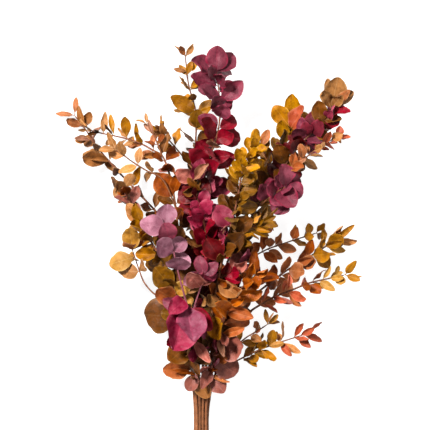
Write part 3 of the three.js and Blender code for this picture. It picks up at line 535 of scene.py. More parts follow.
            (58, 395, 103), (62, 420, 105), (66, 440, 105), (73, 457, 104), (86, 475, 102),
        ],
        start=4.8, gap=(20, 13), long=(38, 34), wide=(22, 21), open=(66, 50), face=(0.5, 1), fold=18,
        crowd=2,
        hues="olive brown olive gold gold gold",
        own=[
            (4.5, (-0.6, 0.7, 0.2), 42, 34, 0.95, 14, "rose"),
            (4.3, (0.8, 0.45, 0.3), 44, 30, 0.9, 16, "brown"),
            (2.15, (0.3, -0.9, 0.35), 50, 32, 0.9, 28, "mustard"),
            (2.6, (-0.5, -0.7, 0.5), 34, 24, 0.9, 20, "tan"),
            (2.9, (0.75, -0.55, 0.3), 40, 30, 0.9, 18, "tan_brown"),
            (3.4, (-0.5, 0.75, 0.35), 46, 36, 0.9, 18, "maroon"),
            (3.7, (0.75, 0.55, 0.3), 46, 34, 0.9, 18, "dark_brown"),
            (0.75, (-0.4, 0.85, 0.45), 46, 26, 0.9, 20, "salmon"),
            (0.55, (0.3, -0.9, 0.25), 32, 24, 1, 14, "tan"),
        ],
        small=[
            (0.8, (0.8, 0.1, 0.6), 42, 10, 0.8, 48, "rust"),
            (1.4, (0.4, -0.75, 0.5), 38, 26, 0.9, 20, "magenta"),
        ],
    ),
    dict(
        branch="olive_branch_front",
        route=[
            (36, 305, 90), (58, 334, 99), (80, 350, 99), (98, 358, 97),
        ],
        start=0.7, gap=(13, 12), long=(40, 36), wide=(17, 15), open=(62, 38), face=(0.3, 1), fold=26,
        crowd=2,
        hues="olive mustard olive ochre",
    ),
    dict(
        branch="terracotta_branch_front",
        route=[
            (8.3, 60, 19), (15, 115, 34), (26, 165, 54), (40, 212, 72), (60, 248, 85), (84, 272, 90),
        ],
        start=2.6, gap=(22, 20), long=(52, 44), wide=(34, 26), open=(60, 40), face=(0.8, 1), fold=28,
        roll=5, crowd=2,
        hues="terracotta orange orange rust",
        own=[
            (1.8, (0.85, 0.1, 0.1), 54, 50, 1, 10, "mauve_brown"),
            (1.5, (0.75, -0.6, 0.1), 48, 42, 1, 10, "mauve_brown"),
            (1.9, (-0.55, 0.7, 0.5), 56, 22, 0.85, 40, "tan"),
            (2.2, (0.9, 0.3, 0.5), 52, 20, 0.8, 40, "terracotta"),
            (1.1, (-0.97, -0.05, 0.35), 52, 30, 0.9, 26, "mauve_brown"),
            (1.2, (0.9, -0.15, 0.5), 48, 16, 0.6, 38, "mauve"),
            (1.3, (0.35, 0.3, 0.8), 36, 28, 0.7, 20, "salmon"),
            (0.9, (0.6, -0.75, 0.2), 38, 32, 0.9, 14, "mauve_brown"),
            (2.4, (-0.45, 0.75, 0.4), 52, 38, 0.95, 24, "tan"),
            (1, (0.85, 0.35, 0.5), 32, 26, 0.85, 14, "magenta"),
            (2, (-0.75, 0.15, 0.6), 44, 30, 0.9, 18, "rose"),
            (3.1, (0.55, 0.75, 0.35), 50, 36, 0.9, 22, "rust_tan"),
            (1.15, (0.3, 0.85, 0.45), 50, 22, 0.9, 28, "salmon"),
        ],
        small=[
            (4.5, (-0.25, 0.9, 0.4), 46, 24, 0.8, 46, "orange"),
            (4.9, (0.35, 0.9, 0.3), 42, 20, 0.8, 44, "orange"),
            (3.9, (0.5, 0.3, 0.8), 44, 24, 0.8, 44, "peach"),
            (3.1, (0.9, -0.2, 0.4), 46, 30, 0.8, 40, "terracotta"),
            (2.1, (-0.25, -0.85, 0.5), 44, 16, 0.9, 34, "pink_tan"),
            (2.4, (0.3, -0.85, 0.5), 46, 17, 0.9, 34, "mauve_brown"),
            (1.7, (0.2, -0.7, 0.7), 34, 14, 0.9, 34, "salmon"),
            (0.9, (0.92, -0.2, 0.35), 42, 11, 0.8, 48, "rust_tan"),
        ],
    ),
]

# The other small leaves, those low on the stems: from and to which point number, how far apart, their
# length, width and colours
LOW_LEAVES = {
    "crimson_branch_heart": (1.0, 3.1, 17, 38, 30, "maroon olive rose tan crimson brown"),
    "purple_branch_top": (1.0, 4.4, 18, 38, 29, "brown olive brown maroon tan_brown crimson"),
    "olive_branch_front": (1.2, 4.6, 17, 36, 27, "tan olive brown rust brown dark_brown olive"),
    "wine_branch_right": (1.2, 6.0, 20, 38, 27, "brown rust rust_tan brown olive brown maroon"),
    "gold_branch_right": (1.2, 3.4, 22, 36, 26, "brown rust_tan olive brown rust"),
    "tan_branch_left": (0.8, 3.7, 18, 40, 32, "brown tan_brown olive khaki olive tan"),
    "copper_branch_left": (1.0, 6.6, 20, 36, 26, "brown olive tan_brown brown rust mauve_brown rust"),
    "mustard_branch_top": (1.4, 5.2, 22, 36, 25, "olive brown rust olive brown"),
    "terracotta_branch_front": (0.7, 2.4, 15, 38, 30, "mauve_brown salmon terracotta rust brown"),
}
LOW_OPEN = (66, 58)
LOW_FACE = (0.6, 1)
LOW_FOLD = 20
CROWD_SIZE = 0.8  # size of the small leaves between the pairs, of that of the pairs
CROWD_ROLL = 45  # degrees that they are turned about the stem from the pairs

# Seeds of the random draws. A shoot's seed is its number, from 1, and its small leaves have one past
# these. A leaf's seed is that of its shoot times LEAF_SEEDS, and the leaf's number.
CROWD_SEEDS = 40
LOW_SEEDS = 80
SMALL_SEEDS = 100
LEAF_SEEDS = 1000
OWN_LEAF_SEEDS = 500  # the single leaves' numbers start here

# How a leaf may give way to its neighbours: degrees that it lifts, degrees that it swings, and its size
GIVE_TURNS = ((9, 1), (18, 0.97), (28, 0.92), (40, 0.84), (55, 0.76))
GIVE_WAYS = ((1, 0), (-1, 0), (0.7, 0.7), (-0.7, 0.7), (0.7, -0.7), (-0.7, -0.7), (0, 1), (0, -1))
GIVES = [(0, 0, 1)]
GIVES += [(turn * lift, turn * swing, size) for turn, size in GIVE_TURNS for lift, swing in GIVE_WAYS]
GIVES += [(0, 0, 0.7), (25, 0, 0.62), (-25, 0, 0.62)]
FOUND_NEAR = 0.02  # a corner this near to one of the frame's is that corner
FOUND_SHARE = 0.6  # and a leaf with this share of its corners there stands there

UP = Vector((0, 0, 1))


def seeded_draws(seed):
    """A repeatable stream of numbers from 0 to 1, from a linear congruential generator. Its first two
    numbers are left out, as they are nearly alike for neighbouring seeds."""
    state = (seed * 7919 + 104729) % 2**32
    for drawn in itertools.count(1):
        state = (state * 1664525 + 1013904223) % 2**32
        if drawn > 2:
            yield state / 2**32


def mix(ends, share):
    """The number at a share of the way from one end to the other."""
    return ends[0] + (ends[1] - ends[0]) * share


def clamp(value, low, high):
    """The value, held between low and high."""
    return min(max(value, low), high)


def route_point(route, t):
    """The point at number t of a route, on a smooth line through its points."""
    last = len(route) - 1
    i = min(math.floor(t), last - 1)
    u = t - i
    a, b, c, d = (route[clamp(n, 0, last)] for n in (i - 1, i, i + 1, i + 2))
    return Vector([
        0.5 * (2 * b[k] + (c[k] - a[k]) * u + (2 * a[k] - 5 * b[k] + 4 * c[k] - d[k]) * u**2
               + (3 * b[k] - a[k] - 3 * c[k] + d[k]) * u**3)
        for k in range(3)
    ])


def route_direction(route, t):
    """The direction in which a route runs at number t."""
    before, after = max(t - 0.05, 0), min(t + 0.05, len(route) - 1)
    return (route_point(route, after) - route_point(route, before)).normalized()


def pair_places(shoot):
    """Where the leaf pairs stand on a shoot, as point numbers of its route. The last pair ends it."""
    if "places" in shoot:
        return shoot["places"]
    route, start, stop = shoot["route"], shoot["start"], shoot["stop"]
    places = []
    t = start
    while t <= stop:
        places.append(t)
        here = min(math.floor(t), len(route) - 2)
        spacing = (route_point(route, here) - route_point(route, here + 1)).length
        t += mix(shoot["gap"], (t - start) / (stop - start)) / spacing
    stretch = (stop - start) / (places[-1] - start)
    return [start + (place - start) * stretch for place in places]


def leaves_of(shoot):
    """The leaves of a shoot as the plant grows them: opposite pairs, each a quarter turn from the last."""
    route, seed, start, stop = shoot["route"], shoot["seed"], shoot["start"], shoot["stop"]
    last = len(route) - 1
    leaves = []

    def grow(t, aim, length, width, turned, folded, hue, draw):
        leaves.append(dict(
            root=route_point(route, t), stem=route_direction(route, t),
            stem_radius=mix(shoot["thick"], t / last), aim=aim, length=length, width=width,
            turned=turned, folded=folded, curl=mix(CURL, next(draw)), wave=mix(WAVE, next(draw)),
            phase=next(draw), twist=mix(TWIST, next(draw)), widest=mix(WIDEST, next(draw)),
            hue=hue, shade=next(draw), cup=next(draw),
        ))

    for k, (t, aim, length, width, turned, folded, hue) in enumerate(shoot["own"], OWN_LEAF_SEEDS):
        draw = seeded_draws(seed * LEAF_SEEDS + k)
        grow(t, Vector(aim).normalized(), length, width, turned, folded, hue, draw)
    hues = shoot["hues"].split()
    places = pair_places(shoot)
    for pair, t in enumerate(places):
        share = (t - start) / (stop - start)
        stem = route_direction(route, t)
        across = UP.cross(stem).normalized()
        for side in (0, 1):
            draw = seeded_draws(seed * LEAF_SEEDS + pair * 2 + side)
            turn = shoot["roll"] + 90 * (len(places) - 1 - pair) + 180 * side
            around = math.radians(turn + mix(AROUND_SPREAD, next(draw)))
            outward = Quaternion(stem, around) @ across
            angle = math.radians(mix(shoot["open"], share) + mix(OPEN_SPREAD, next(draw)))
            aim = stem * math.cos(angle) + outward * math.sin(angle)
            size = mix(LENGTH_SPREAD, next(draw))
            length = mix(shoot["long"], share) * size
            width = mix(shoot["wide"], share) * size * mix(WIDTH_SPREAD, next(draw))
            turned = mix(shoot["face"], next(draw))
            folded = shoot["fold"] * mix(FOLD_SPREAD, next(draw))
            hue = hues[round(share * (len(hues) - 1) + HUE_STRAY * (-1) ** (side + pair))]
            grow(t, aim, length, width, turned, folded, hue, draw)
    return leaves


def blade_frame(leaf, give):
    """The blade's directions once it has given way, along, across and out of its face, and its size."""
    lift, swing, size = give
    aim, stem = leaf["aim"], leaf["stem"]
    natural = (stem - aim * stem.dot(aim)).normalized()
    light = UP - aim * aim.z
    if light.length < LEAST_LIGHT:
        light = natural
    out = (natural * (1 - leaf["turned"]) + light.normalized() * leaf["turned"]).normalized()
    level = out.cross(aim).normalized()
    swung = Quaternion(out, math.radians(swing))
    along = swung @ (Quaternion(level, -math.radians(lift)) @ aim)
    face = along.cross(swung @ level).normalized()
    blade = dict(along=along, face=face, across=face.cross(along))
    blade["length"] = leaf["length"] * size
    blade["half"] = leaf["width"] * size / 2
    blade["neck"] = (leaf["stem_radius"] + NECK_OUT) / blade["length"]
    blade["bend"] = LEAST_CURL if abs(leaf["curl"]) < LEAST_CURL else leaf["curl"]
    blade["closed"] = math.radians(min(leaf["folded"], MOST_FOLD))
    blade["pointed"] = clamp(mix(ROOT_BLUNT, leaf["width"] / leaf["length"]), *ROOT_BLUNT_RANGE)
    return blade


def blade_corner(leaf, blade, s, w, side):
    """A corner of the frame's solid: s runs from root to tip, w from edge to edge, side picks the face."""
    beyond = clamp((s - blade["neck"]) / (1 - blade["neck"]), 0, NEARLY_TIP)
    outline = math.sin(math.pi * beyond ** leaf["widest"]) ** mix((blade["pointed"], TIP_BLUNT), beyond)
    half = max(NECK_WIDE / 2, blade["half"] * outline)
    angle = blade["bend"] * s
    radius = blade["length"] / blade["bend"]
    reach = w * half / blade["half"]
    turns = WAVES * s + leaf["phase"] + WAVE_SHIFT * ((w > 0) - (w < 0))
    ripple = leaf["wave"] * blade["length"] * reach**2 * math.sin(2 * math.pi * turns)
    twist = leaf["twist"] * beyond
    level = blade["face"] * math.cos(angle) - blade["along"] * math.sin(angle)
    out = level * math.cos(twist) - blade["across"] * math.sin(twist)
    across = blade["across"] * math.cos(twist) + level * math.sin(twist)
    point = leaf["root"] + blade["along"] * (radius * math.sin(angle))
    point += blade["face"] * (radius * (1 - math.cos(angle)))
    point += across * (w * half * math.cos(blade["closed"]))
    point += out * (abs(w) * half * math.sin(blade["closed"]) + ripple)
    offset = out * (side * FRAME_BLADE / 2 / math.cos(blade["closed"]))
    point += offset
    point.z = max(point.z, FRAME_BLADE if offset.z > 0 else 0)
    return point


def found_blade(leaf, corners):
    """The blade of a leaf as it stands in the frame, or None where it has fallen off."""
    corners_at = CORNERS_AT if leaf["length"] < LARGE_LEAF else LARGE_CORNERS_AT
    outline = [(1, 0, 1), (1, 0, -1)]
    outline += [(s, w, side) for s in corners_at for w in (-1, 1) for side in (-1, 1)]
    for give in GIVES:
        blade = blade_frame(leaf, give)
        near = [corners.find(blade_corner(leaf, blade, *place))[2] < FOUND_NEAR for place in outline]
        if sum(near) >= FOUND_SHARE * len(near):
            return blade
    return None


# The room that a small leaf needs is tested on two coarse sheets, one on each side of its blade
SHEET_ROWS = (0.3, 0.5, 0.7, 0.88)
SHEET_CLEAR = 2.5  # how far apart the two sheets are, as a multiple of the frame's blades
OFF_STEM = 0.16  # share of its length past the neck from which a leaf must be clear of its own stem


def blade_sheets(leaf, blade):
    """The two coarse sheets of a small leaf, as a tree to test for crossings, and their box's corners."""
    rows = [blade["neck"] + OFF_STEM] + [s for s in SHEET_ROWS if s > blade["neck"] + OFF_STEM]
    places = [(s, w) for s in rows for w in (-1, 0, 1)] + [(1, 0)]
    points = [
        blade_corner(leaf, blade, s, w, side)
        for side in (-SHEET_CLEAR, SHEET_CLEAR) for s, w in places
    ]
    faces = []
    for first in (0, len(places)):
        for row in range(len(rows) - 1):
            for k in (0, 1):
                here = first + row * 3 + k
                faces.append((here, here + 1, here + 4, here + 3))
        top = first + (len(rows) - 1) * 3
        faces += [(top, top + 1, top + 3), (top + 1, top + 2, top + 3)]
    low = Vector([min(point[k] for point in points) for k in range(3)])
    high = Vector([max(point[k] for point in points) for k in range(3)])
    return BVHTree.FromPolygons(points, faces), low, high


def placed_blade(leaf, solids, placed):
    """The first way for a small leaf to give way that is clear of the frame and the leaves placed so far."""
    for give in GIVES:
        blade = blade_frame(leaf, give)
        sheets, low, high = blade_sheets(leaf, blade)
        if low.z < FRAME_BLADE:
            continue
        if any(sheets.overlap(solid) for solid in solids):
            continue
        near = (
            other for other, other_low, other_high in placed
            if all(low[k] < other_high[k] and other_low[k] < high[k] for k in range(3))
        )
        if any(sheets.overlap(other) for other in near):
            continue
        placed.append((sheets, low, high))
        return blade
    return None


def crowd_of(name, shoots):
    """The shoots of a branch once more, each with the smaller leaves that the frame leaves out."""
    crowd = []
    for shoot in shoots:
        for leaf in shoot["small"]:
            crowd.append(dict(shoot, own=[leaf], places=(), seed=SMALL_SEEDS + len(crowd)))
    for shoot in shoots:
        pairs, count = pair_places(shoot), shoot["crowd"]
        between = [mix(ends, (k + 1) / (count + 1)) for ends in zip(pairs, pairs[1:]) for k in range(count)]
        crowd.append(dict(
            shoot, own=(), places=between, roll=shoot["roll"] + CROWD_ROLL, seed=CROWD_SEEDS + shoot["seed"],
            long=[size * CROWD_SIZE for size in shoot["long"]],
            wide=[size * CROWD_SIZE for size in shoot["wide"]],
        ))
    if name in LOW_LEAVES:
        start, stop, gap, long, wide, hues = LOW_LEAVES[name]
        stem = shoots[0]
        crowd.append(dict(
            stem, own=(), start=start + stem["foot"], stop=stop + stem["foot"], gap=(gap, gap),
            long=(long, long), wide=(wide, wide), open=LOW_OPEN, face=LOW_FACE, fold=LOW_FOLD, hues=hues,
            seed=LOW_SEEDS + stem["seed"],
        ))
    return crowd


def solid_tree(node):
    """The frame's solid, in millimetres, to test for crossings."""
    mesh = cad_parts[node].data
    points = [vertex.co / MM for vertex in mesh.vertices]
    return BVHTree.FromPolygons(points, [tuple(face.vertices) for face in mesh.polygons])


def corner_tree(node):
    """The corners of a node of the frame, in millimetres, to look points up in."""
    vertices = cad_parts[node].data.vertices
    tree = KDTree(len(vertices))
    for k, vertex in enumerate(vertices):
        tree.insert(vertex.co / MM, k)
    tree.balance()
    return tree


def linear(colour):
    """An sRGB hex value as linear red, green, blue and alpha."""
    parts = [((colour >> shift) & 255) / 255 for shift in (16, 8, 0)]
    return tuple(c / 12.92 if c <= 0.04045 else ((c + 0.055) / 1.055) ** 2.4 for c in parts) + (1,)


def add(tree, kind, inputs=(), **settings):
    """Adds a node with its settings and links. kind is its type or, in capitals, what a Math node does.
    inputs gives values, sockets or nodes, by number or in order."""
    if kind.isupper():
        kind, settings = "ShaderNodeMath", dict(settings, operation=kind)
    node = tree.nodes.new(kind)
    for name, value in settings.items():
        setattr(node, name, value)
    for key, value in inputs.items() if isinstance(inputs, dict) else enumerate(inputs):
        if isinstance(value, bpy.types.Node):
            value = value.outputs[0]
        if isinstance(value, bpy.types.NodeSocket):
            tree.links.new(value, node.inputs[key])
        elif value is not None:
            node.inputs[key].default_value = value
    return node


# The kinds of node used most, with their inputs
VECTOR = "ShaderNodeVectorMath"
SPLIT = "ShaderNodeSeparateXYZ"
JOIN = "ShaderNodeCombineXYZ"
NOISE = "ShaderNodeTexNoise"  # place, seed, scale, detail, roughness
RANGE = "ShaderNodeMapRange"  # value, its two ends, and what they become
NAMED = "GeometryNodeInputNamedAttribute"
STORE = "GeometryNodeStoreNamedAttribute"  # 2 is the name, 3 the value
MOVE = "GeometryNodeSetPosition"  # 1 is which points, 2 their place, 3 their step
ATTRIBUTE = "ShaderNodeAttribute"
MIX = "ShaderNodeMix"  # 0 is the share, 6 and 7 the two colours
BUMP = "ShaderNodeBump"  # 0 is the strength, 1 the depth, 3 the height


def new_object(name, data):
    """A new object in the scene."""
    thing = bpy.data.objects.new(name, data)
    bpy.context.scene.collection.objects.link(thing)
    return thing


def new_tree(name, sizes):
    """An empty geometry tree with named inputs, in metres or plain numbers. Returns it and its inputs."""
    tree = bpy.data.node_groups.new(name, "GeometryNodeTree")
    for way in ("OUTPUT", "INPUT"):
        tree.interface.new_socket("Geometry", in_out=way, socket_type="NodeSocketGeometry")
    for size, value in sizes.items():
        tree.interface.new_socket(size, in_out="INPUT", socket_type="NodeSocketFloat").default_value = value
    return tree, add(tree, "NodeGroupInput").outputs


def finish_tree(tree, geometry, material, part=None, part_material=None):
    """Ends a geometry tree: smooth but for its sharp edges, in a material and, on a part, in another."""
    geometry = add(tree, "GeometryNodeSetShadeSmooth", {0: geometry, 2: True})
    geometry = add(tree, "GeometryNodeSetMaterial", {0: geometry, 2: material})
    if part is not None:
        geometry = add(tree, "GeometryNodeSetMaterial", {0: geometry, 1: part, 2: part_material})
    add(tree, "NodeGroupOutput", [geometry])
    return tree


def made_piece(name, source, tree, sizes):
    """The result of a tree on a mesh, as a plain object of its own."""
    holder = new_object(name + "_source", source)
    modifier = holder.modifiers.new("growth", "NODES")
    modifier.node_group = tree
    for socket in tree.interface.items_tree:
        if socket.in_out == "INPUT" and socket.name in sizes:
            modifier[socket.identifier] = sizes[socket.name]
    graph = bpy.context.evaluated_depsgraph_get()
    mesh = bpy.data.meshes.new_from_object(holder.evaluated_get(graph))
    bpy.data.objects.remove(holder)
    mesh.name = name
    # The blade_ values have done their work. The materials read the others
    for attribute in [a.name for a in mesh.attributes if a.name.startswith("blade_")]:
        mesh.attributes.remove(mesh.attributes[attribute])
    return new_object(name, mesh)


def set_attribute(mesh, name, values):
    """Stores one value per vertex: a number, a vector of three numbers or a colour of four."""
    if isinstance(values[0], (int, float)):
        values = [(value,) for value in values]
    kinds = {1: ("FLOAT", "value"), 3: ("FLOAT_VECTOR", "vector"), 4: ("FLOAT_COLOR", "color")}
    kind, field = kinds[len(values[0])]
    flat = [number for value in values for number in value]
    mesh.attributes.new(name, kind, "POINT").data.foreach_set(field, flat)


# The blade that every leaf is bent from. Each vertex holds its place on the blade: w from edge to edge,
# the face it is on, and v, which is -1 at the root, 0 at the end of the neck and 1 at the tip.
BLADE_COLUMNS = (-1, -0.86, -0.62, -0.34, -0.07, 0, 0.07, 0.34, 0.62, 0.86, 1)
NECK_ROWS = (-1, -0.45)
BLADE_ROWS = 18


def blade_template():
    """A flat blade 2 long and 2 wide, with a shallow thickness that only keeps its two faces apart."""
    ring = [(w, 1) for w in BLADE_COLUMNS] + [(w, -1) for w in BLADE_COLUMNS[-2:0:-1]]
    rows = [*NECK_ROWS] + [0.5 - 0.5 * math.cos(math.pi * k / BLADE_ROWS) for k in range(BLADE_ROWS)]
    places = [(w, side, v) for v in rows for w, side in ring] + [(0, 0, 1)]
    count = len(ring)
    tip = len(places) - 1
    faces = [tuple(range(count))]
    for row in range(len(rows) - 1):
        for k in range(count):
            here, beside = row * count + k, row * count + (k + 1) % count
            faces.append((here, here + count, beside + count, beside))
    top = (len(rows) - 1) * count
    faces += [(top + k, tip, top + (k + 1) % count) for k in range(count)]
    mesh = bpy.data.meshes.new("blade")
    mesh.from_pydata([(w, v, 0.01 * side) for w, side, v in places], [], faces)
    set_attribute(mesh, "blade_place", places)
    rims = {0, len(BLADE_COLUMNS) - 1}
    sharp = [all(v % count in rims and v < tip for v in edge.vertices) for edge in mesh.edges]
    mesh.attributes.new("sharp_edge", "BOOLEAN", "EDGE").data.foreach_set("value", sharp)
    return new_object("blade", mesh)


# Sizes of the leaf tree, in metres where they are lengths
LEAF_SIZES = {
    "Blade Thickness": 0.42 * MM,
    "Neck Thickness": 1.0 * MM,
    "Neck Width": NECK_WIDE * MM,
    "Rib Height": 0.28 * MM,
    "Rib Width": 0.7 * MM,
    "Ragged Edge": 0.2,
    "Edge Grain": 9.0 * MM,
    "Crumple Height": 9.0 * MM,
    "Crumple Grain": 15.0 * MM,
    "Crinkle Height": 1.3 * MM,
    "Crinkle Grain": 4.5 * MM,
    "Ruffle Height": 7.0 * MM,
    "Ruffle Grain": 9.0 * MM,
    "Rim Roll": 0.45,
}
BLADE_OPENING = 0.22  # share of the blade in which it opens out of its neck
SMOOTH_LENGTH = 20.0  # a leaf of this length dries the smoothest,
SMOOTH_UNREST = 0.3  # with this share of the crumples,
CRUMPLED_LENGTH = 46.0  # and one of this length has them all
EDGE_ASIDE = 0.05  # metres by which an edge reads the noise aside, so that the two edges aren't alike
NIBBLED = 0.55  # where the noise is under this, the edge is nibbled
LEAST_FOLD = 0.02  # radians, as a flat blade would have no trough
RUFFLED_RIM = 3  # the higher, the nearer to the rim the ruffles stay,
THIN_RIM = 6  # and the nearer to it the blade thins
UPPER_RIB = 0.35  # share of the rib's height that stands out of the upper face
SEED_SPREAD = 40  # the seeds of the leaves' noise lie between 0 and this


def leaned(tree, direction, other, angle):
    """Nodes that lean a direction towards another, square to it, by an angle."""
    parts = [
        add(tree, VECTOR, {0: way, 3: add(tree, share, (angle,))}, operation="SCALE")
        for way, share in ((direction, "COSINE"), (other, "SINE"))
    ]
    return add(tree, VECTOR, parts, operation="ADD")


def leaf_tree(template, material):
    """Sets a blade at every point of the leaves' mesh and bends it to that leaf's own form."""
    tree, size = new_tree("eucalyptus_leaves", LEAF_SIZES)
    blade = add(tree, "GeometryNodeObjectInfo", [template])
    leaves = add(tree, "GeometryNodeInstanceOnPoints", {0: size["Geometry"], 2: blade.outputs[4]})
    leaves = add(tree, "GeometryNodeRealizeInstances", [leaves])

    names = ("blade_place", "blade_size", "blade_form", "blade_wave", "blade_turn")
    (w, side, v), (length, half_wide, neck), (bend, closed, pointed), (height, phase, seed), turn = (
        add(tree, SPLIT, [add(tree, NAMED, [name], data_type="FLOAT_VECTOR")]).outputs for name in names
    )
    twist, widest, cupped = turn
    root, along, across, face = (
        add(tree, NAMED, [name], data_type="FLOAT_VECTOR")
        for name in ("blade_root", "blade_along", "blade_across", "blade_face")
    )

    # Share of the length from root to tip, with the neck's rows in the neck
    past = add(tree, "MAXIMUM", (v, 0))
    in_neck = add(tree, "ADD", (add(tree, "MINIMUM", (v, 0)), 1))
    neck_part = add(tree, "MULTIPLY", (in_neck, neck))
    rest = add(tree, "SUBTRACT", (1, neck))
    s = add(tree, "MULTIPLY_ADD", (past, rest, neck_part))
    down = add(tree, "MULTIPLY", (s, length))
    open_blade = add(tree, RANGE, (past, 0, BLADE_OPENING, 0, 1), interpolation_type="SMOOTHSTEP")

    # A small leaf dries smoother than a large one
    unrest = add(tree, RANGE, (length, SMOOTH_LENGTH * MM, CRUMPLED_LENGTH * MM, SMOOTH_UNREST, 1))
    unrest = add(tree, "MULTIPLY", (unrest, add(tree, NAMED, ["blade_unrest"], data_type="FLOAT")))

    # Half the width, with the ragged and nibbled edge of a dry leaf
    inner = add(tree, "MINIMUM", (past, NEARLY_TIP))
    swollen = add(tree, "POWER", (inner, widest))
    bulge = add(tree, "SINE", (add(tree, "MULTIPLY", (swollen, math.pi)),))
    outline = add(tree, "POWER", (bulge, add(tree, RANGE, (inner, 0, 1, pointed, TIP_BLUNT))))
    hand = add(tree, "SIGN", (w,))
    edge_place = add(tree, JOIN, (down, add(tree, "MULTIPLY", (hand, EDGE_ASIDE)), 0))
    edge_scale = add(tree, "DIVIDE", (1, size["Edge Grain"]))
    edge_noise = add(tree, NOISE, {0: edge_place, 1: seed, 2: edge_scale, 3: 1.0}, noise_dimensions="4D")
    nibble = add(tree, "MULTIPLY", (add(tree, "SUBTRACT", (edge_noise, NIBBLED)), unrest))
    nibbled = add(tree, "MULTIPLY_ADD", (nibble, size["Ragged Edge"], 1))
    blade_half = add(tree, "MULTIPLY", (add(tree, "MULTIPLY", (outline, half_wide)), nibbled))
    to_tip = add(tree, "SUBTRACT", (1, past))
    neck_half = add(tree, "MULTIPLY", (add(tree, "MULTIPLY", (size["Neck Width"], 0.5)), to_tip))
    half = add(tree, "MAXIMUM", (blade_half, neck_half))
    cross = add(tree, "MULTIPLY", (w, half))
    beside = add(tree, "ABSOLUTE", (cross,))

    # The blade's curl from root to tip, and its twist about the rib
    angle = add(tree, "MULTIPLY", (bend, s))
    radius = add(tree, "DIVIDE", (length, bend))
    level = leaned(tree, face, along, add(tree, "MULTIPLY", (angle, -1)))
    twisted = add(tree, "MULTIPLY", (twist, past))
    out = leaned(tree, level, across, add(tree, "MULTIPLY", (twisted, -1)))
    beam = leaned(tree, across, level, twisted)

    # Across it, a sharp fold at the rib and a round trough through the same rims, in each leaf's own mix
    fold = add(tree, "MAXIMUM", (closed, LEAST_FOLD))
    fold_wide = add(tree, "MULTIPLY", (cross, add(tree, "COSINE", (fold,))))
    fold_rise = add(tree, "MULTIPLY", (beside, add(tree, "SINE", (fold,))))
    sweep = add(tree, "MULTIPLY", (add(tree, "MULTIPLY", (w, 2)), fold))
    twice_sine = add(tree, "MULTIPLY", (add(tree, "SINE", (fold,)), 2))
    trough = add(tree, "DIVIDE", (half, twice_sine))
    trough_wide = add(tree, "MULTIPLY", (trough, add(tree, "SINE", (sweep,))))
    flat_share = add(tree, "SUBTRACT", (1, add(tree, "COSINE", (sweep,))))
    trough_rise = add(tree, "MULTIPLY", (trough, flat_share))
    sideways = add(tree, RANGE, (cupped, 0, 1, fold_wide, trough_wide))
    rise = add(tree, RANGE, (cupped, 0, 1, fold_rise, trough_rise))

    # How far it stands out of the level besides: the waves, the crumples and the crinkles
    reach = add(tree, "DIVIDE", (cross, half_wide))
    turns = add(tree, "MULTIPLY_ADD", (s, WAVES, add(tree, "MULTIPLY_ADD", (hand, WAVE_SHIFT, phase))))
    swell = add(tree, "SINE", (add(tree, "MULTIPLY", (turns, 2 * math.pi)),))
    wave_height = add(tree, "MULTIPLY", (height, add(tree, "MULTIPLY", (reach, reach))))
    rise = add(tree, "MULTIPLY_ADD", (swell, wave_height, rise))
    place = add(tree, JOIN, (cross, down, 0))
    to_rim = add(tree, "POWER", (add(tree, "ABSOLUTE", (w,)), RUFFLED_RIM))
    rim_part = add(tree, "MULTIPLY", (to_rim, open_blade))
    for name, part in (("Crumple", open_blade), ("Crinkle", open_blade), ("Ruffle", rim_part)):
        scale = add(tree, "DIVIDE", (1, size[name + " Grain"]))
        noise = add(tree, NOISE, {0: place, 1: seed, 2: scale, 3: 1.0}, noise_dimensions="4D")
        swing = add(tree, "SUBTRACT", (noise, 0.5))
        swing = add(tree, "MULTIPLY", (swing, add(tree, "MULTIPLY", (part, unrest))))
        rise = add(tree, "MULTIPLY_ADD", (swing, size[name + " Height"], rise))
    # The rim rolls up or down, more on one leaf than on another
    roll = add(tree, "MULTIPLY", (add(tree, "SUBTRACT", (phase, 0.5)), size["Rim Roll"]))
    rolled = add(tree, "MULTIPLY", (add(tree, "MULTIPLY", (roll, rim_part)), half))
    rise = add(tree, "ADD", (rise, rolled))

    # Half the thickness, thin at the rim and thick in the neck, and the rib that stands out below
    thick = add(tree, RANGE, (open_blade, 0, 1, size["Neck Thickness"], size["Blade Thickness"]))
    rim = add(tree, "SUBTRACT", (1, add(tree, "POWER", (w, THIN_RIM))))
    skin = add(tree, "MULTIPLY", (add(tree, "MULTIPLY", (thick, rim)), add(tree, "MULTIPLY", (side, 0.5))))
    near_rib = add(tree, RANGE, (beside, 0, size["Rib Width"], 1, 0), interpolation_type="SMOOTHSTEP")
    rib_share = add(tree, RANGE, (side, -1, 1, 1, UPPER_RIB))
    rib = add(tree, "MULTIPLY", (near_rib, rib_share))
    rib = add(tree, "MULTIPLY", (rib, add(tree, "MULTIPLY", (size["Rib Height"], to_tip))))
    lift = add(tree, "SUBTRACT", (add(tree, "ADD", (rise, skin)), rib))

    # The vertex in space: along the curl, across the fold and out of the face
    forward = add(tree, "MULTIPLY", (radius, add(tree, "SINE", (angle,))))
    turned_up = add(tree, "SUBTRACT", (1, add(tree, "COSINE", (angle,))))
    curled = add(tree, "MULTIPLY", (radius, turned_up))
    point = root
    for direction, amount in ((along, forward), (face, curled), (beam, sideways), (out, lift)):
        step = add(tree, VECTOR, {0: direction, 3: amount}, operation="SCALE")
        point = add(tree, VECTOR, (point, step), operation="ADD")

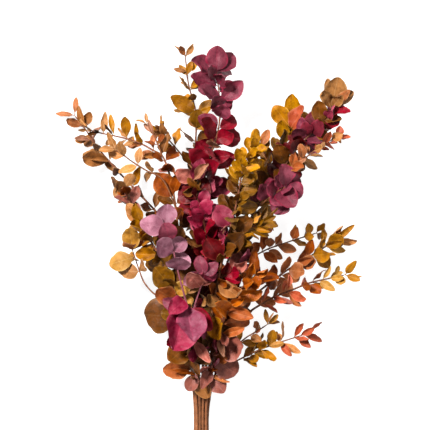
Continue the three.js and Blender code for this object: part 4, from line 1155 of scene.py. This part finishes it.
    # A blade that meets the floor lies flat on it, with its upper face above its lower one
    x, y, z = add(tree, SPLIT, [point]).outputs
    upward = add(tree, "MULTIPLY", (side, add(tree, SPLIT, [out]).outputs[2]))
    is_upper = add(tree, "GREATER_THAN", (upward, 0))
    least = add(tree, "MULTIPLY", (is_upper, size["Blade Thickness"]))
    settled = add(tree, JOIN, (x, y, add(tree, "MAXIMUM", (z, least))))
    leaves = add(tree, MOVE, {0: leaves, 2: settled})

    # The place on the blade that the veins follow, in millimetres: across, along, and the share to the rim
    across_mm, down_mm = (add(tree, "MULTIPLY", (metres, 1 / MM)) for metres in (cross, down))
    vein_place = add(tree, JOIN, (across_mm, down_mm, add(tree, "ABSOLUTE", (w,))))
    leaves = add(tree, STORE, {0: leaves, 2: "leaf_place", 3: vein_place}, data_type="FLOAT_VECTOR")
    leaf_kind = add(tree, JOIN, (seed, side, past))
    leaves = add(tree, STORE, {0: leaves, 2: "leaf_kind", 3: leaf_kind}, data_type="FLOAT_VECTOR")
    return finish_tree(tree, leaves, material)


def leaf_values(leaf, blade):
    """What the leaf's point carries: its directions, its sizes and form, its draws and its colours."""
    colours = [linear(colour) for colour in HUES[leaf["hue"]]]
    return {
        "blade_root": leaf["root"] * MM,
        "blade_along": blade["along"],
        "blade_across": blade["across"],
        "blade_face": blade["face"],
        "blade_size": (blade["length"] * MM, blade["half"] * MM, blade["neck"]),
        "blade_form": (blade["bend"], blade["closed"], blade["pointed"]),
        "blade_turn": (leaf["twist"], leaf["widest"], leaf["cup"]),
        "blade_wave": (leaf["wave"] * blade["length"] * MM, leaf["phase"], SEED_SPREAD * leaf["shade"]),
        "blade_unrest": RUFFLED.get(leaf["hue"], 1),
        **dict(zip(("leaf_colour", "leaf_blotch", "leaf_rim"), colours)),
    }


def leaf_points(branch, blades):
    """A mesh with a point at each leaf's root, which the leaf tree turns to that leaf."""
    mesh = bpy.data.meshes.new(branch + "_points")
    mesh.from_pydata([leaf["root"] * MM for leaf, blade in blades], [], [])
    points = [leaf_values(leaf, blade) for leaf, blade in blades]
    for name in points[0]:
        set_attribute(mesh, name, [point[name] for point in points])
    return mesh


# Twigs. The bark goes from the woody brown of the cut ends to the dark red brown of the thin shoots.
WOODY_BARK = 0x82502E
SHOOT_BARK = 0x5E2E18
PINK_BARK = 0x7C404A  # the young shoots of the palest mauve leaves
PINK_BRANCHES = ("lilac_branch_front",)
PINK_FROM = 2.5  # the point number from which their stem is pink too
BARK_SHADES = (0.75, 1.25)  # the darkest and the palest shoot's bark
SHADE_STEP = 0.618  # from one shoot's shade to the next, which spreads them evenly
BARK_AGEING = 0.7  # under 1, the dark red brown starts low on a shoot
TWIG_STEP = 2.2  # length of one ring's stretch of twig
KNUCKLE = 0.32  # how far a stem swells where a leaf pair stands or stood, as a share of its radius
KNUCKLE_REACH = 1.7  # and how far along the stem
SMOOTH_RADIUS = 4.0  # radius at which a stem would have no knuckles any more
SCAR_GAP = 27.0  # between the scars of fallen pairs on the bare stem
TIP_TAPER = 5.0  # the stretch in which a twig narrows to its end
TIP_END = 0.35  # its radius there
TIP_ROUND = 0.6  # an exponent under 1 makes the taper round

TWIG_SIZES = {
    "Bark Height": 0.3 * MM,
    "Bark Grain": 3.0 * MM,
    "Bark Stretch": 0.3,
}
TWIG_SIDES = 10
BARK_MIDDLE = 0.55  # over the noise's own, so that the bark sinks in more than it stands out
CUT_DEPTH = 0.3  # the rings this near to the cut end are drawn out level with it
SHARP_ANGLE = 0.9  # radians from which an edge of a twig stays sharp


def bark_colour(shoot, t):
    """The bark's colour at number t of a shoot's route."""
    if shoot["branch"] in PINK_BRANCHES and (not shoot["foot"] or t > PINK_FROM + shoot["foot"]):
        return linear(PINK_BARK)
    share = (t / (len(shoot["route"]) - 1)) ** BARK_AGEING
    shade = mix(BARK_SHADES, shoot["seed"] * SHADE_STEP % 1)
    return [mix(ends, share) * shade for ends in zip(linear(WOODY_BARK), linear(SHOOT_BARK))]


def twig_curve(shoot):
    """Points along a shoot with the twig's radius and bark colour at each."""
    route = shoot["route"]
    last = len(route) - 1
    ts = []
    for i in range(last):
        steps = max(1, round((route_point(route, i) - route_point(route, i + 1)).length / TWIG_STEP))
        ts += [i + k / steps for k in range(steps)]
    points = [route_point(route, t) for t in ts + [last]]
    run = [0.0]
    for a, b in zip(points, points[1:]):
        run.append(run[-1] + (b - a).length)
    pairs = [next(r for r, t in zip(run, ts + [last]) if t > place - 0.01) for place in pair_places(shoot)]
    bare = pairs[0] - SCAR_GAP
    while bare > SCAR_GAP:
        pairs.append(bare)
        bare -= SCAR_GAP
    radii = []
    for t, r in zip(ts + [last], run):
        radius = mix(shoot["thick"], t / last)
        knuckle = KNUCKLE * max(math.exp(-((r - pair) / KNUCKLE_REACH) ** 2) for pair in pairs)
        swollen = radius * (1 + knuckle * (1 - radius / SMOOTH_RADIUS))
        end = clamp((run[-1] - r) / TIP_TAPER, 0, 1)
        radii.append(mix((TIP_END, swollen), end**TIP_ROUND))
    return points, radii, [bark_colour(shoot, t) for t in ts + [last]]


def twig_lines(name, shoots):
    """A mesh of lines along a branch's shoots, for the twig tree."""
    vertices, edges, radii, barks = [], [], [], []
    for shoot in shoots:
        points, radius, bark = twig_curve(shoot)
        edges += [(len(vertices) + k, len(vertices) + k + 1) for k in range(len(points) - 1)]
        vertices += [point * MM for point in points]
        radii += [r * MM for r in radius]
        barks += bark
    mesh = bpy.data.meshes.new(name + "_lines")
    mesh.from_pydata(vertices, edges, [])
    set_attribute(mesh, "blade_radius", radii)
    set_attribute(mesh, "bark_colour", barks)
    return mesh


def tube_from_lines(tree, lines, radius, profile, tilt=None):
    """Nodes that turn lines into closed tubes of a given radius and profile."""
    curves = add(tree, "GeometryNodeMeshToCurve", [lines])
    if tilt is not None:
        curves = add(tree, "GeometryNodeSetCurveTilt", {0: curves, 2: tilt})
    return add(tree, "GeometryNodeCurveToMesh", {0: curves, 1: profile, 2: radius, 3: True})


def roughened(tree, tubes, place, grain, height, detail, middle):
    """Nodes that move the surface out where a noise is over the middle, and in where it is under."""
    noise = add(tree, NOISE, {0: place, 2: add(tree, "DIVIDE", (1, grain)), 3: detail})
    rough = add(tree, "MULTIPLY", (add(tree, "SUBTRACT", (noise, middle)), height))
    normal = add(tree, "GeometryNodeInputNormal")
    return add(tree, MOVE, {0: tubes, 3: add(tree, VECTOR, {0: normal, 3: rough}, operation="SCALE")})


def twig_tree(bark, cut_wood):
    """Tubes along the lines, with a rough bark and a pale flat cut at the foot of the bunch."""
    tree, size = new_tree("eucalyptus_twigs", TWIG_SIZES)
    radius = add(tree, NAMED, ["blade_radius"], data_type="FLOAT")
    profile = add(tree, "GeometryNodeCurvePrimitiveCircle", {0: TWIG_SIDES, 4: 1.0})
    twigs = tube_from_lines(tree, size["Geometry"], radius, profile)
    place = add(tree, "GeometryNodeInputPosition")
    stretch = add(tree, JOIN, (1, size["Bark Stretch"], 1))
    grain_place = add(tree, VECTOR, (place, stretch), operation="MULTIPLY")
    twigs = roughened(tree, twigs, grain_place, size["Bark Grain"], size["Bark Height"], 3.0, BARK_MIDDLE)
    x, y, z = add(tree, SPLIT, [place]).outputs
    at_cut = add(tree, "LESS_THAN", (y, (CUT_END_Y + CUT_DEPTH) * MM))
    twigs = add(tree, MOVE, {0: twigs, 1: at_cut, 2: add(tree, JOIN, (x, CUT_END_Y * MM, z))})
    edge_angle = add(tree, "GeometryNodeInputMeshEdgeAngle")
    steep = add(tree, "FunctionNodeCompare", (edge_angle, SHARP_ANGLE), operation="GREATER_THAN")
    sharp = {0: twigs, 1: steep, 2: "sharp_edge", 3: True}
    twigs = add(tree, STORE, sharp, data_type="BOOLEAN", domain="EDGE")
    return finish_tree(tree, twigs, bark, at_cut, cut_wood)


# The tie: jute twine wound round the stems, its turns side by side
TWINE_RADIUS = TIE_THICK / 2
TWINE_TURNS = 7
TWINE_LAY = 5.2  # length in which the twine's three strands go round once
TWINE_STEP = 0.6  # length of one ring's stretch of twine
TWINE_SIZES = {"Strand Depth": 0.17, "Fibre Height": 0.1 * MM, "Fibre Grain": 0.7 * MM}
TWINE_SIDES = 15
FIBRE_MIDDLE = 0.7  # as for the bark
CORNER_SEATS = ((1.5, 0), (2, 1), (1.5, 2), (-1.5, 2), (-2, 1), (-1.5, 0))  # round the bundle
CORNER_STEPS = 8  # in which the twine goes round a corner stem


def seat_point(seat):
    """The middle of a seat in the tie, as x and z."""
    column, row = seat
    return Vector((column * STEM_PITCH, BACK_ROW_Z + row * ROW_RISE))


def bundle_outline(distance):
    """The rounded outline of the bundle, a given distance outside the corner stems, as points x and z."""
    corners = [seat_point(seat) for seat in CORNER_SEATS]
    points = []
    for k, corner in enumerate(corners):
        before, after = corners[k - 1], corners[(k + 1) % len(corners)]
        first, last = (math.atan2(b.y - a.y, b.x - a.x) - math.pi / 2
                       for a, b in ((before, corner), (corner, after)))
        if last < first:
            last += 2 * math.pi
        for i in range(CORNER_STEPS + 1):
            angle = mix((first, last), i / CORNER_STEPS)
            points.append(corner + Vector((math.cos(angle), math.sin(angle))) * distance)
    return points


def even_loop(points, step):
    """Points every step along a closed outline, starting in the middle of its upper side."""
    middle = max(range(len(points)), key=lambda k: (points[k].y, points[k].x))
    points = points[middle:] + points[:middle + 1]
    lengths = [(b - a).length for a, b in zip(points, points[1:])]
    count = round(sum(lengths) / step)
    result, k, gone = [], 0, 0.0
    for i in range(count):
        target = i * sum(lengths) / count
        while gone + lengths[k] < target:
            gone += lengths[k]
            k += 1
        share = 0 if lengths[k] == 0 else (target - gone) / lengths[k]
        result.append(points[k].lerp(points[k + 1], share))
    return result


def twine_lines():
    """The winding as one line, from its start to its end."""
    loop = even_loop(bundle_outline(STEM_RADIUS + TIE_CLEAR + TWINE_RADIUS), TWINE_STEP)
    pitch = (TIE_WIDTH - 2 * TWINE_RADIUS) / TWINE_TURNS
    count = TWINE_TURNS * len(loop)
    vertices = []
    for k in range(count + 1):
        x, z = loop[k % len(loop)]
        y = TWINE_RADIUS - TIE_WIDTH / 2 + pitch * k / len(loop)
        vertices.append(Vector((x, y, z)) * MM)
    mesh = bpy.data.meshes.new("twine_lines")
    mesh.from_pydata(vertices, [(k, k + 1) for k in range(count)], [])
    return mesh


def twine_tree(material):
    """A twine of three strands along the line, rough with fibres."""
    tree, size = new_tree("jute_twine", TWINE_SIZES)
    circle = add(tree, "GeometryNodeCurvePrimitiveCircle", {0: TWINE_SIDES, 4: 1.0})
    place = add(tree, "GeometryNodeInputPosition")
    x, y = add(tree, SPLIT, [place]).outputs[:2]
    strands = add(tree, "MULTIPLY", (add(tree, "ARCTAN2", (y, x)), 3))
    depth = add(tree, "SUBTRACT", (add(tree, "COSINE", (strands,)), 1))
    lobes = add(tree, "MULTIPLY_ADD", (depth, size["Strand Depth"], 1))
    profile = add(tree, MOVE, {0: circle, 2: add(tree, VECTOR, {0: place, 3: lobes}, operation="SCALE")})
    run = add(tree, "GeometryNodeSplineParameter").outputs[1]
    tilt = add(tree, "MULTIPLY", (run, 2 * math.pi / (TWINE_LAY * MM)))
    twine = tube_from_lines(tree, size["Geometry"], TWINE_RADIUS * MM, profile, tilt)
    twine = roughened(tree, twine, place, size["Fibre Grain"], size["Fibre Height"], 2.0, FIBRE_MIDDLE)
    return finish_tree(tree, twine, material)


# Sizes of the materials' patterns, from those of the real ones
BLOTCH = 9.0  # width of a blotch of dye
SPECK = 1.1
LEAF_FIBRE = 0.5
LEAF_RIB = (0.25, 0.6)  # from the middle to where its pale line begins to fade and ends
VEIN_GAP = 2.8  # between the side veins
VEIN_LEAN = 0.8  # how far a side vein leans to the tip for each millimetre that it runs out
GROOVE = 0.6  # width of the bark's grooves
GROOVE_LONG = 4  # times as long as they are wide
BARK_PATCH = 7.0
PORE = 0.5  # vessels of 0.2 mm, drawn wider so that they show
JUTE_FIBRE = 0.3  # of 0.15 mm, drawn thicker so that they show


def new_material(name):
    """A material with an empty tree."""
    material = bpy.data.materials.new(name)
    material.use_nodes = True
    material.node_tree.nodes.clear()
    return material, material.node_tree


def finish_material(material, settings):
    """Ends a material's tree with its shader."""
    shader = add(material.node_tree, "ShaderNodeBsdfPrincipled", settings)
    add(material.node_tree, "ShaderNodeOutputMaterial", [shader])
    return material


def dried_leaf():
    """Eucalyptus leaf, dyed, preserved and dried: matt and papery with a faint wax, blotched where the
    dye took unevenly, paler and browner at the dry rim, with a pale rib and side veins."""
    material, tree = new_material("dyed dried eucalyptus leaf")
    colour, blotch, rim = (add(tree, ATTRIBUTE, attribute_name=name).outputs[0]
                           for name in ("leaf_colour", "leaf_blotch", "leaf_rim"))
    place, kind = (add(tree, ATTRIBUTE, attribute_name=name).outputs[1]
                   for name in ("leaf_place", "leaf_kind"))
    across, along, to_rim = add(tree, SPLIT, [place]).outputs
    seed, side, to_tip = add(tree, SPLIT, [kind]).outputs
    flat = add(tree, JOIN, (across, along, 0))
    patches, specks, fibres = (
        add(tree, NOISE, {0: flat, 1: seed, 2: 1 / width, 3: detail, 4: rough}, noise_dimensions="4D")
        for width, detail, rough in ((BLOTCH, 4.0, 0.6), (SPECK, 2.0, 0.7), (LEAF_FIBRE, 3.0, 0.7))
    )

    # Blotches and specks, and a darkening towards the stalk
    patch = add(tree, RANGE, (patches, 0.44, 0.66, 0, 0.8), interpolation_type="SMOOTHSTEP")
    speck = add(tree, RANGE, (specks, 0.56, 0.72, 0, 0.55))
    blotchy_reach = add(tree, "MULTIPLY_ADD", (patches, 0.6, to_tip))
    stalk_darkening = add(tree, RANGE, (blotchy_reach, 0.3, 0.85, 0.85, 0), interpolation_type="SMOOTHSTEP")

    # The rim dries first, in a band that comes and goes
    band = add(tree, "MULTIPLY_ADD", (patches, 0.5, to_rim))
    dry = add(tree, RANGE, (band, 0.98, 1.3, 0, 0.75), interpolation_type="SMOOTHSTEP")

    # The rib and the side veins, which waver a little
    beside = add(tree, "ABSOLUTE", (across,))
    rib = add(tree, RANGE, (beside, *LEAF_RIB, 1, 0))
    warped = add(tree, "MULTIPLY_ADD", (specks, 0.5, along))
    lean = add(tree, "MULTIPLY_ADD", (beside, -VEIN_LEAN, warped))
    turn = add(tree, "FRACT", (add(tree, "MULTIPLY", (lean, 1 / VEIN_GAP)),))
    middle = add(tree, "ABSOLUTE", (add(tree, "SUBTRACT", (turn, 0.5)),))
    vein = add(tree, RANGE, (middle, 0.03, 0.12, 1, 0))
    lines = add(tree, "MAXIMUM", (rib, add(tree, "MULTIPLY", (vein, 0.32))))
    pale = add(tree, "MULTIPLY", (lines, 0.5))
    base = colour
    for share, tint in ((patch, blotch), (speck, blotch), (stalk_darkening, blotch), (dry, rim), (pale, rim)):
        base = add(tree, MIX, {0: share, 6: base, 7: tint}, data_type="RGBA").outputs[2]

    # No two leaves took the dye alike, and the lower face took less of it. The darkening that differs from
    # leaf to leaf is partly that dye and partly painted shade, for the shade that the leaves get among each
    # other
    shade = add(tree, "ShaderNodeTexWhiteNoise", {1: seed}, noise_dimensions="1D")
    value = add(tree, RANGE, (shade, 0, 1, 0.46, 0.78))
    faded = add(tree, RANGE, (side, -1, 1, 0.98, 1.06))
    base = add(tree, "ShaderNodeHueSaturation", {1: faded, 2: value, 4: base})

    relief = add(tree, "MULTIPLY_ADD", (lines, 0.8, fibres))
    relief = add(tree, "MULTIPLY_ADD", (patches, 5.0, relief))
    bump = add(tree, BUMP, {0: 0.6, 1: 0.5 * MM, 3: relief})
    roughness = add(tree, RANGE, (patches, 0.3, 0.7, 0.36, 0.55))
    return finish_material(material, {
        "Base Color": base, "Roughness": roughness, "Normal": bump, "Specular IOR Level": 0.18,
    })


def eucalyptus_bark():
    """Thin eucalyptus bark, dried on the twig: matt, with fine grooves along the grain."""
    material, tree = new_material("dried eucalyptus bark")
    colour = add(tree, ATTRIBUTE, attribute_name="bark_colour").outputs[0]
    place = add(tree, "ShaderNodeTexCoord").outputs[3]
    # The twigs run mostly along Y, and so do the grooves
    per_groove = 1 / (GROOVE * MM)
    grain = add(tree, "ShaderNodeMapping", {0: place, 3: (per_groove, per_groove / GROOVE_LONG, per_groove)})
    grooves = add(tree, NOISE, {0: grain, 2: 1.0, 3: 3.0, 4: 0.65})
    dark = add(tree, RANGE, (grooves, 0.4, 0.65, 1.15, 0.55))
    patches = add(tree, NOISE, {0: place, 2: 1 / (BARK_PATCH * MM), 3: 2.0})
    mottled = add(tree, RANGE, (patches, 0.35, 0.65, 0.8, 1.2))
    base = add(tree, "ShaderNodeHueSaturation", {2: add(tree, "MULTIPLY", (dark, mottled)), 4: colour})
    bump = add(tree, BUMP, {0: 0.6, 1: 0.3 * MM, 3: grooves})
    return finish_material(material, {
        "Base Color": base, "Roughness": 0.72, "Normal": bump, "Specular IOR Level": 0.3,
    })


def fibrous(name, width, detail, rough, colours, bump_strength, roughness, specular):
    """A dull material of two colours in a fine grain, and rough with it."""
    material, tree = new_material(name)
    place = add(tree, "ShaderNodeTexCoord").outputs[3]
    grain = add(tree, NOISE, {0: place, 2: 1 / (width * MM), 3: detail, 4: rough})
    shade = add(tree, RANGE, (grain, 0.35, 0.65, 0, 1))
    pair = {0: shade, 6: linear(colours[0]), 7: linear(colours[1])}
    base = add(tree, MIX, pair, data_type="RGBA").outputs[2]
    bump = add(tree, BUMP, {0: bump_strength, 1: 0.2 * MM, 3: grain})
    return finish_material(material, {
        "Base Color": base, "Roughness": roughness, "Normal": bump, "Specular IOR Level": specular,
    })


def cut_wood():
    """The end grain of a twig cut with shears: pale and rough, with darker pores."""
    return fibrous("cut eucalyptus wood", PORE, 3.0, 0.5, (0xD8B888, 0xA57C4C), 0.4, 0.8, 0.3)


def jute():
    """Jute twine: dull golden brown bast fibres, with painted shade in the hollows between them, so that it
    is darker between the fibres than on top.
    """
    # The darker of the two colours is painted shade: it lies where the grain is low, where the bump sinks
    # the surface in
    return fibrous("jute twine", JUTE_FIBRE, 2.0, 0.7, (0x8C6A3E, 0xCDAE7A), 0.7, 0.85, 0.25)


def pale_floor():
    """The frosted pane of a light table, lit from below so that hardly a shadow falls on it."""
    return finish_material(new_material("white light table")[0], {
        "Base Color": linear(0x8A8A88), "Roughness": 0.9, "Specular IOR Level": 0.2,
        "Emission Color": linear(0xFFFFFF), "Emission Strength": 0.9,
    })


def prepared_branches():
    """Each branch's shoots with all their values. Its stem gets a bare foot that goes through the tie."""
    branches = {name: [] for name in SEATS}
    for seed, shoot in enumerate(SHOOTS, 1):
        shoots = branches[shoot["branch"]]
        is_stem = not shoots
        x, z = seat_point(SEATS[shoot["branch"]])
        foot = [(x, CUT_END_Y, z), (x, 0, z)] if is_stem else []
        shoot = dict(roll=ROLL, own=(), small=(), crowd=0, seed=seed, foot=len(foot)) | shoot
        shoot["thick"] = (STEM_RADIUS if is_stem else SHOOT_RADIUS, TIP_RADIUS)
        shoot["route"] = foot + shoot["route"]
        shoot["start"] += len(foot)
        shoot["stop"] = len(shoot["route"]) - 1
        for leaves in ("own", "small"):
            shoot[leaves] = [(t + len(foot), *rest) for t, *rest in shoot[leaves]]
        shoots.append(shoot)
    return branches


def stand_for(piece, node):
    """Puts a piece in the place of a node of the frame."""
    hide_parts(node)
    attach(piece, "root")


def build_branches():
    """Each branch as two pieces, its leaves and its twigs."""
    template = blade_template()
    leaves_from = leaf_tree(template, dried_leaf())
    twigs_from = twig_tree(eucalyptus_bark(), cut_wood())
    solids = [solid_tree(node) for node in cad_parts]
    placed = []
    for name, shoots in prepared_branches().items():
        corners = corner_tree(name)
        grown = [leaf for shoot in shoots for leaf in leaves_of(shoot)]
        blades = [(leaf, found_blade(leaf, corners)) for leaf in grown]
        small = [leaf for shoot in crowd_of(name, shoots) for leaf in leaves_of(shoot)]
        blades += [(leaf, placed_blade(leaf, solids, placed)) for leaf in small]
        blades = [(leaf, blade) for leaf, blade in blades if blade]
        leaves = made_piece(name + "_leaves", leaf_points(name, blades), leaves_from, LEAF_SIZES)
        twigs = made_piece(name + "_twigs", twig_lines(name, shoots), twigs_from, TWIG_SIZES)
        stand_for(leaves, name)
        stand_for(twigs, name)
    bpy.data.objects.remove(template)


def build_tie():
    """The tie as wound twine."""
    twine = made_piece("jute_tie", twine_lines(), twine_tree(jute()), TWINE_SIZES)
    stand_for(twine, "tie")


# The photograph's view: from straight above, 688 mm across at the height of the bunch's middle
VIEW_CENTRE = (22.4, 369.6)
VIEW_WIDTH = 688.0
VIEW_HEIGHT = 70.0  # height of the bunch's middle above the floor
LENS = 120.0
SENSOR = 36.0
VIEW_END = 50.0  # how many metres far the camera sees
FLOOR_SIZE = 60.0  # metres, so that its far edge stays out of low views

# Soft boxes: where each stands in metres, the size of its square and its power in watts
LIGHTS = {
    "key": ((-1.1, 1.3, 2.0), 0.5, 160),
    "fill": ((1.6, -0.3, 1.9), 1.5, 26),
    "back": ((0.9, 2.4, 1.0), 1.2, 16),
}
WALL_LIGHT = 0.22  # strength of the light from the studio's walls


def build_floor():
    """The light table that the bunch lies on."""
    half = FLOOR_SIZE / 2
    corners = [(-half, -half, 0), (half, -half, 0), (half, half, 0), (-half, half, 0)]
    mesh = bpy.data.meshes.new("floor")
    mesh.from_pydata(corners, [], [(0, 1, 2, 3)])
    mesh.materials.append(pale_floor())
    new_object("floor", mesh)


def build_camera():
    """The camera straight above the bunch's middle, far enough for the view's width."""
    camera = bpy.data.cameras.new("camera")
    camera.lens = LENS
    camera.sensor_width = SENSOR
    camera.clip_end = VIEW_END
    holder = new_object("camera", camera)
    holder.location = Vector((*VIEW_CENTRE, VIEW_HEIGHT + VIEW_WIDTH * LENS / SENSOR)) * MM
    bpy.context.scene.camera = holder


def build_lights():
    """Three soft boxes turned to the bunch, in a white studio."""
    target = Vector((*VIEW_CENTRE, VIEW_HEIGHT)) * MM
    for name, (place, size, power) in LIGHTS.items():
        light = bpy.data.lights.new(name, "AREA")
        light.size = size
        light.energy = power
        holder = new_object(name, light)
        holder.location = place
        holder.rotation_euler = (target - Vector(place)).to_track_quat("-Z", "Y").to_euler()
    world = bpy.data.worlds.new("studio")
    world.use_nodes = True
    world.node_tree.nodes.clear()
    # The studio's walls look as white as the light table, but only a little light comes from them
    seen = add(world.node_tree, "ShaderNodeLightPath").outputs["Is Camera Ray"]
    strength = add(world.node_tree, RANGE, (seen, 0, 1, WALL_LIGHT, 1))
    walls = add(world.node_tree, "ShaderNodeBackground", (linear(0xFFFFFF), strength))
    add(world.node_tree, "ShaderNodeOutputWorld", [walls])
    bpy.context.scene.world = world
    bpy.context.scene.view_settings.view_transform = "Standard"


build_camera()
build_branches()
build_tie()
build_floor()
build_lights()
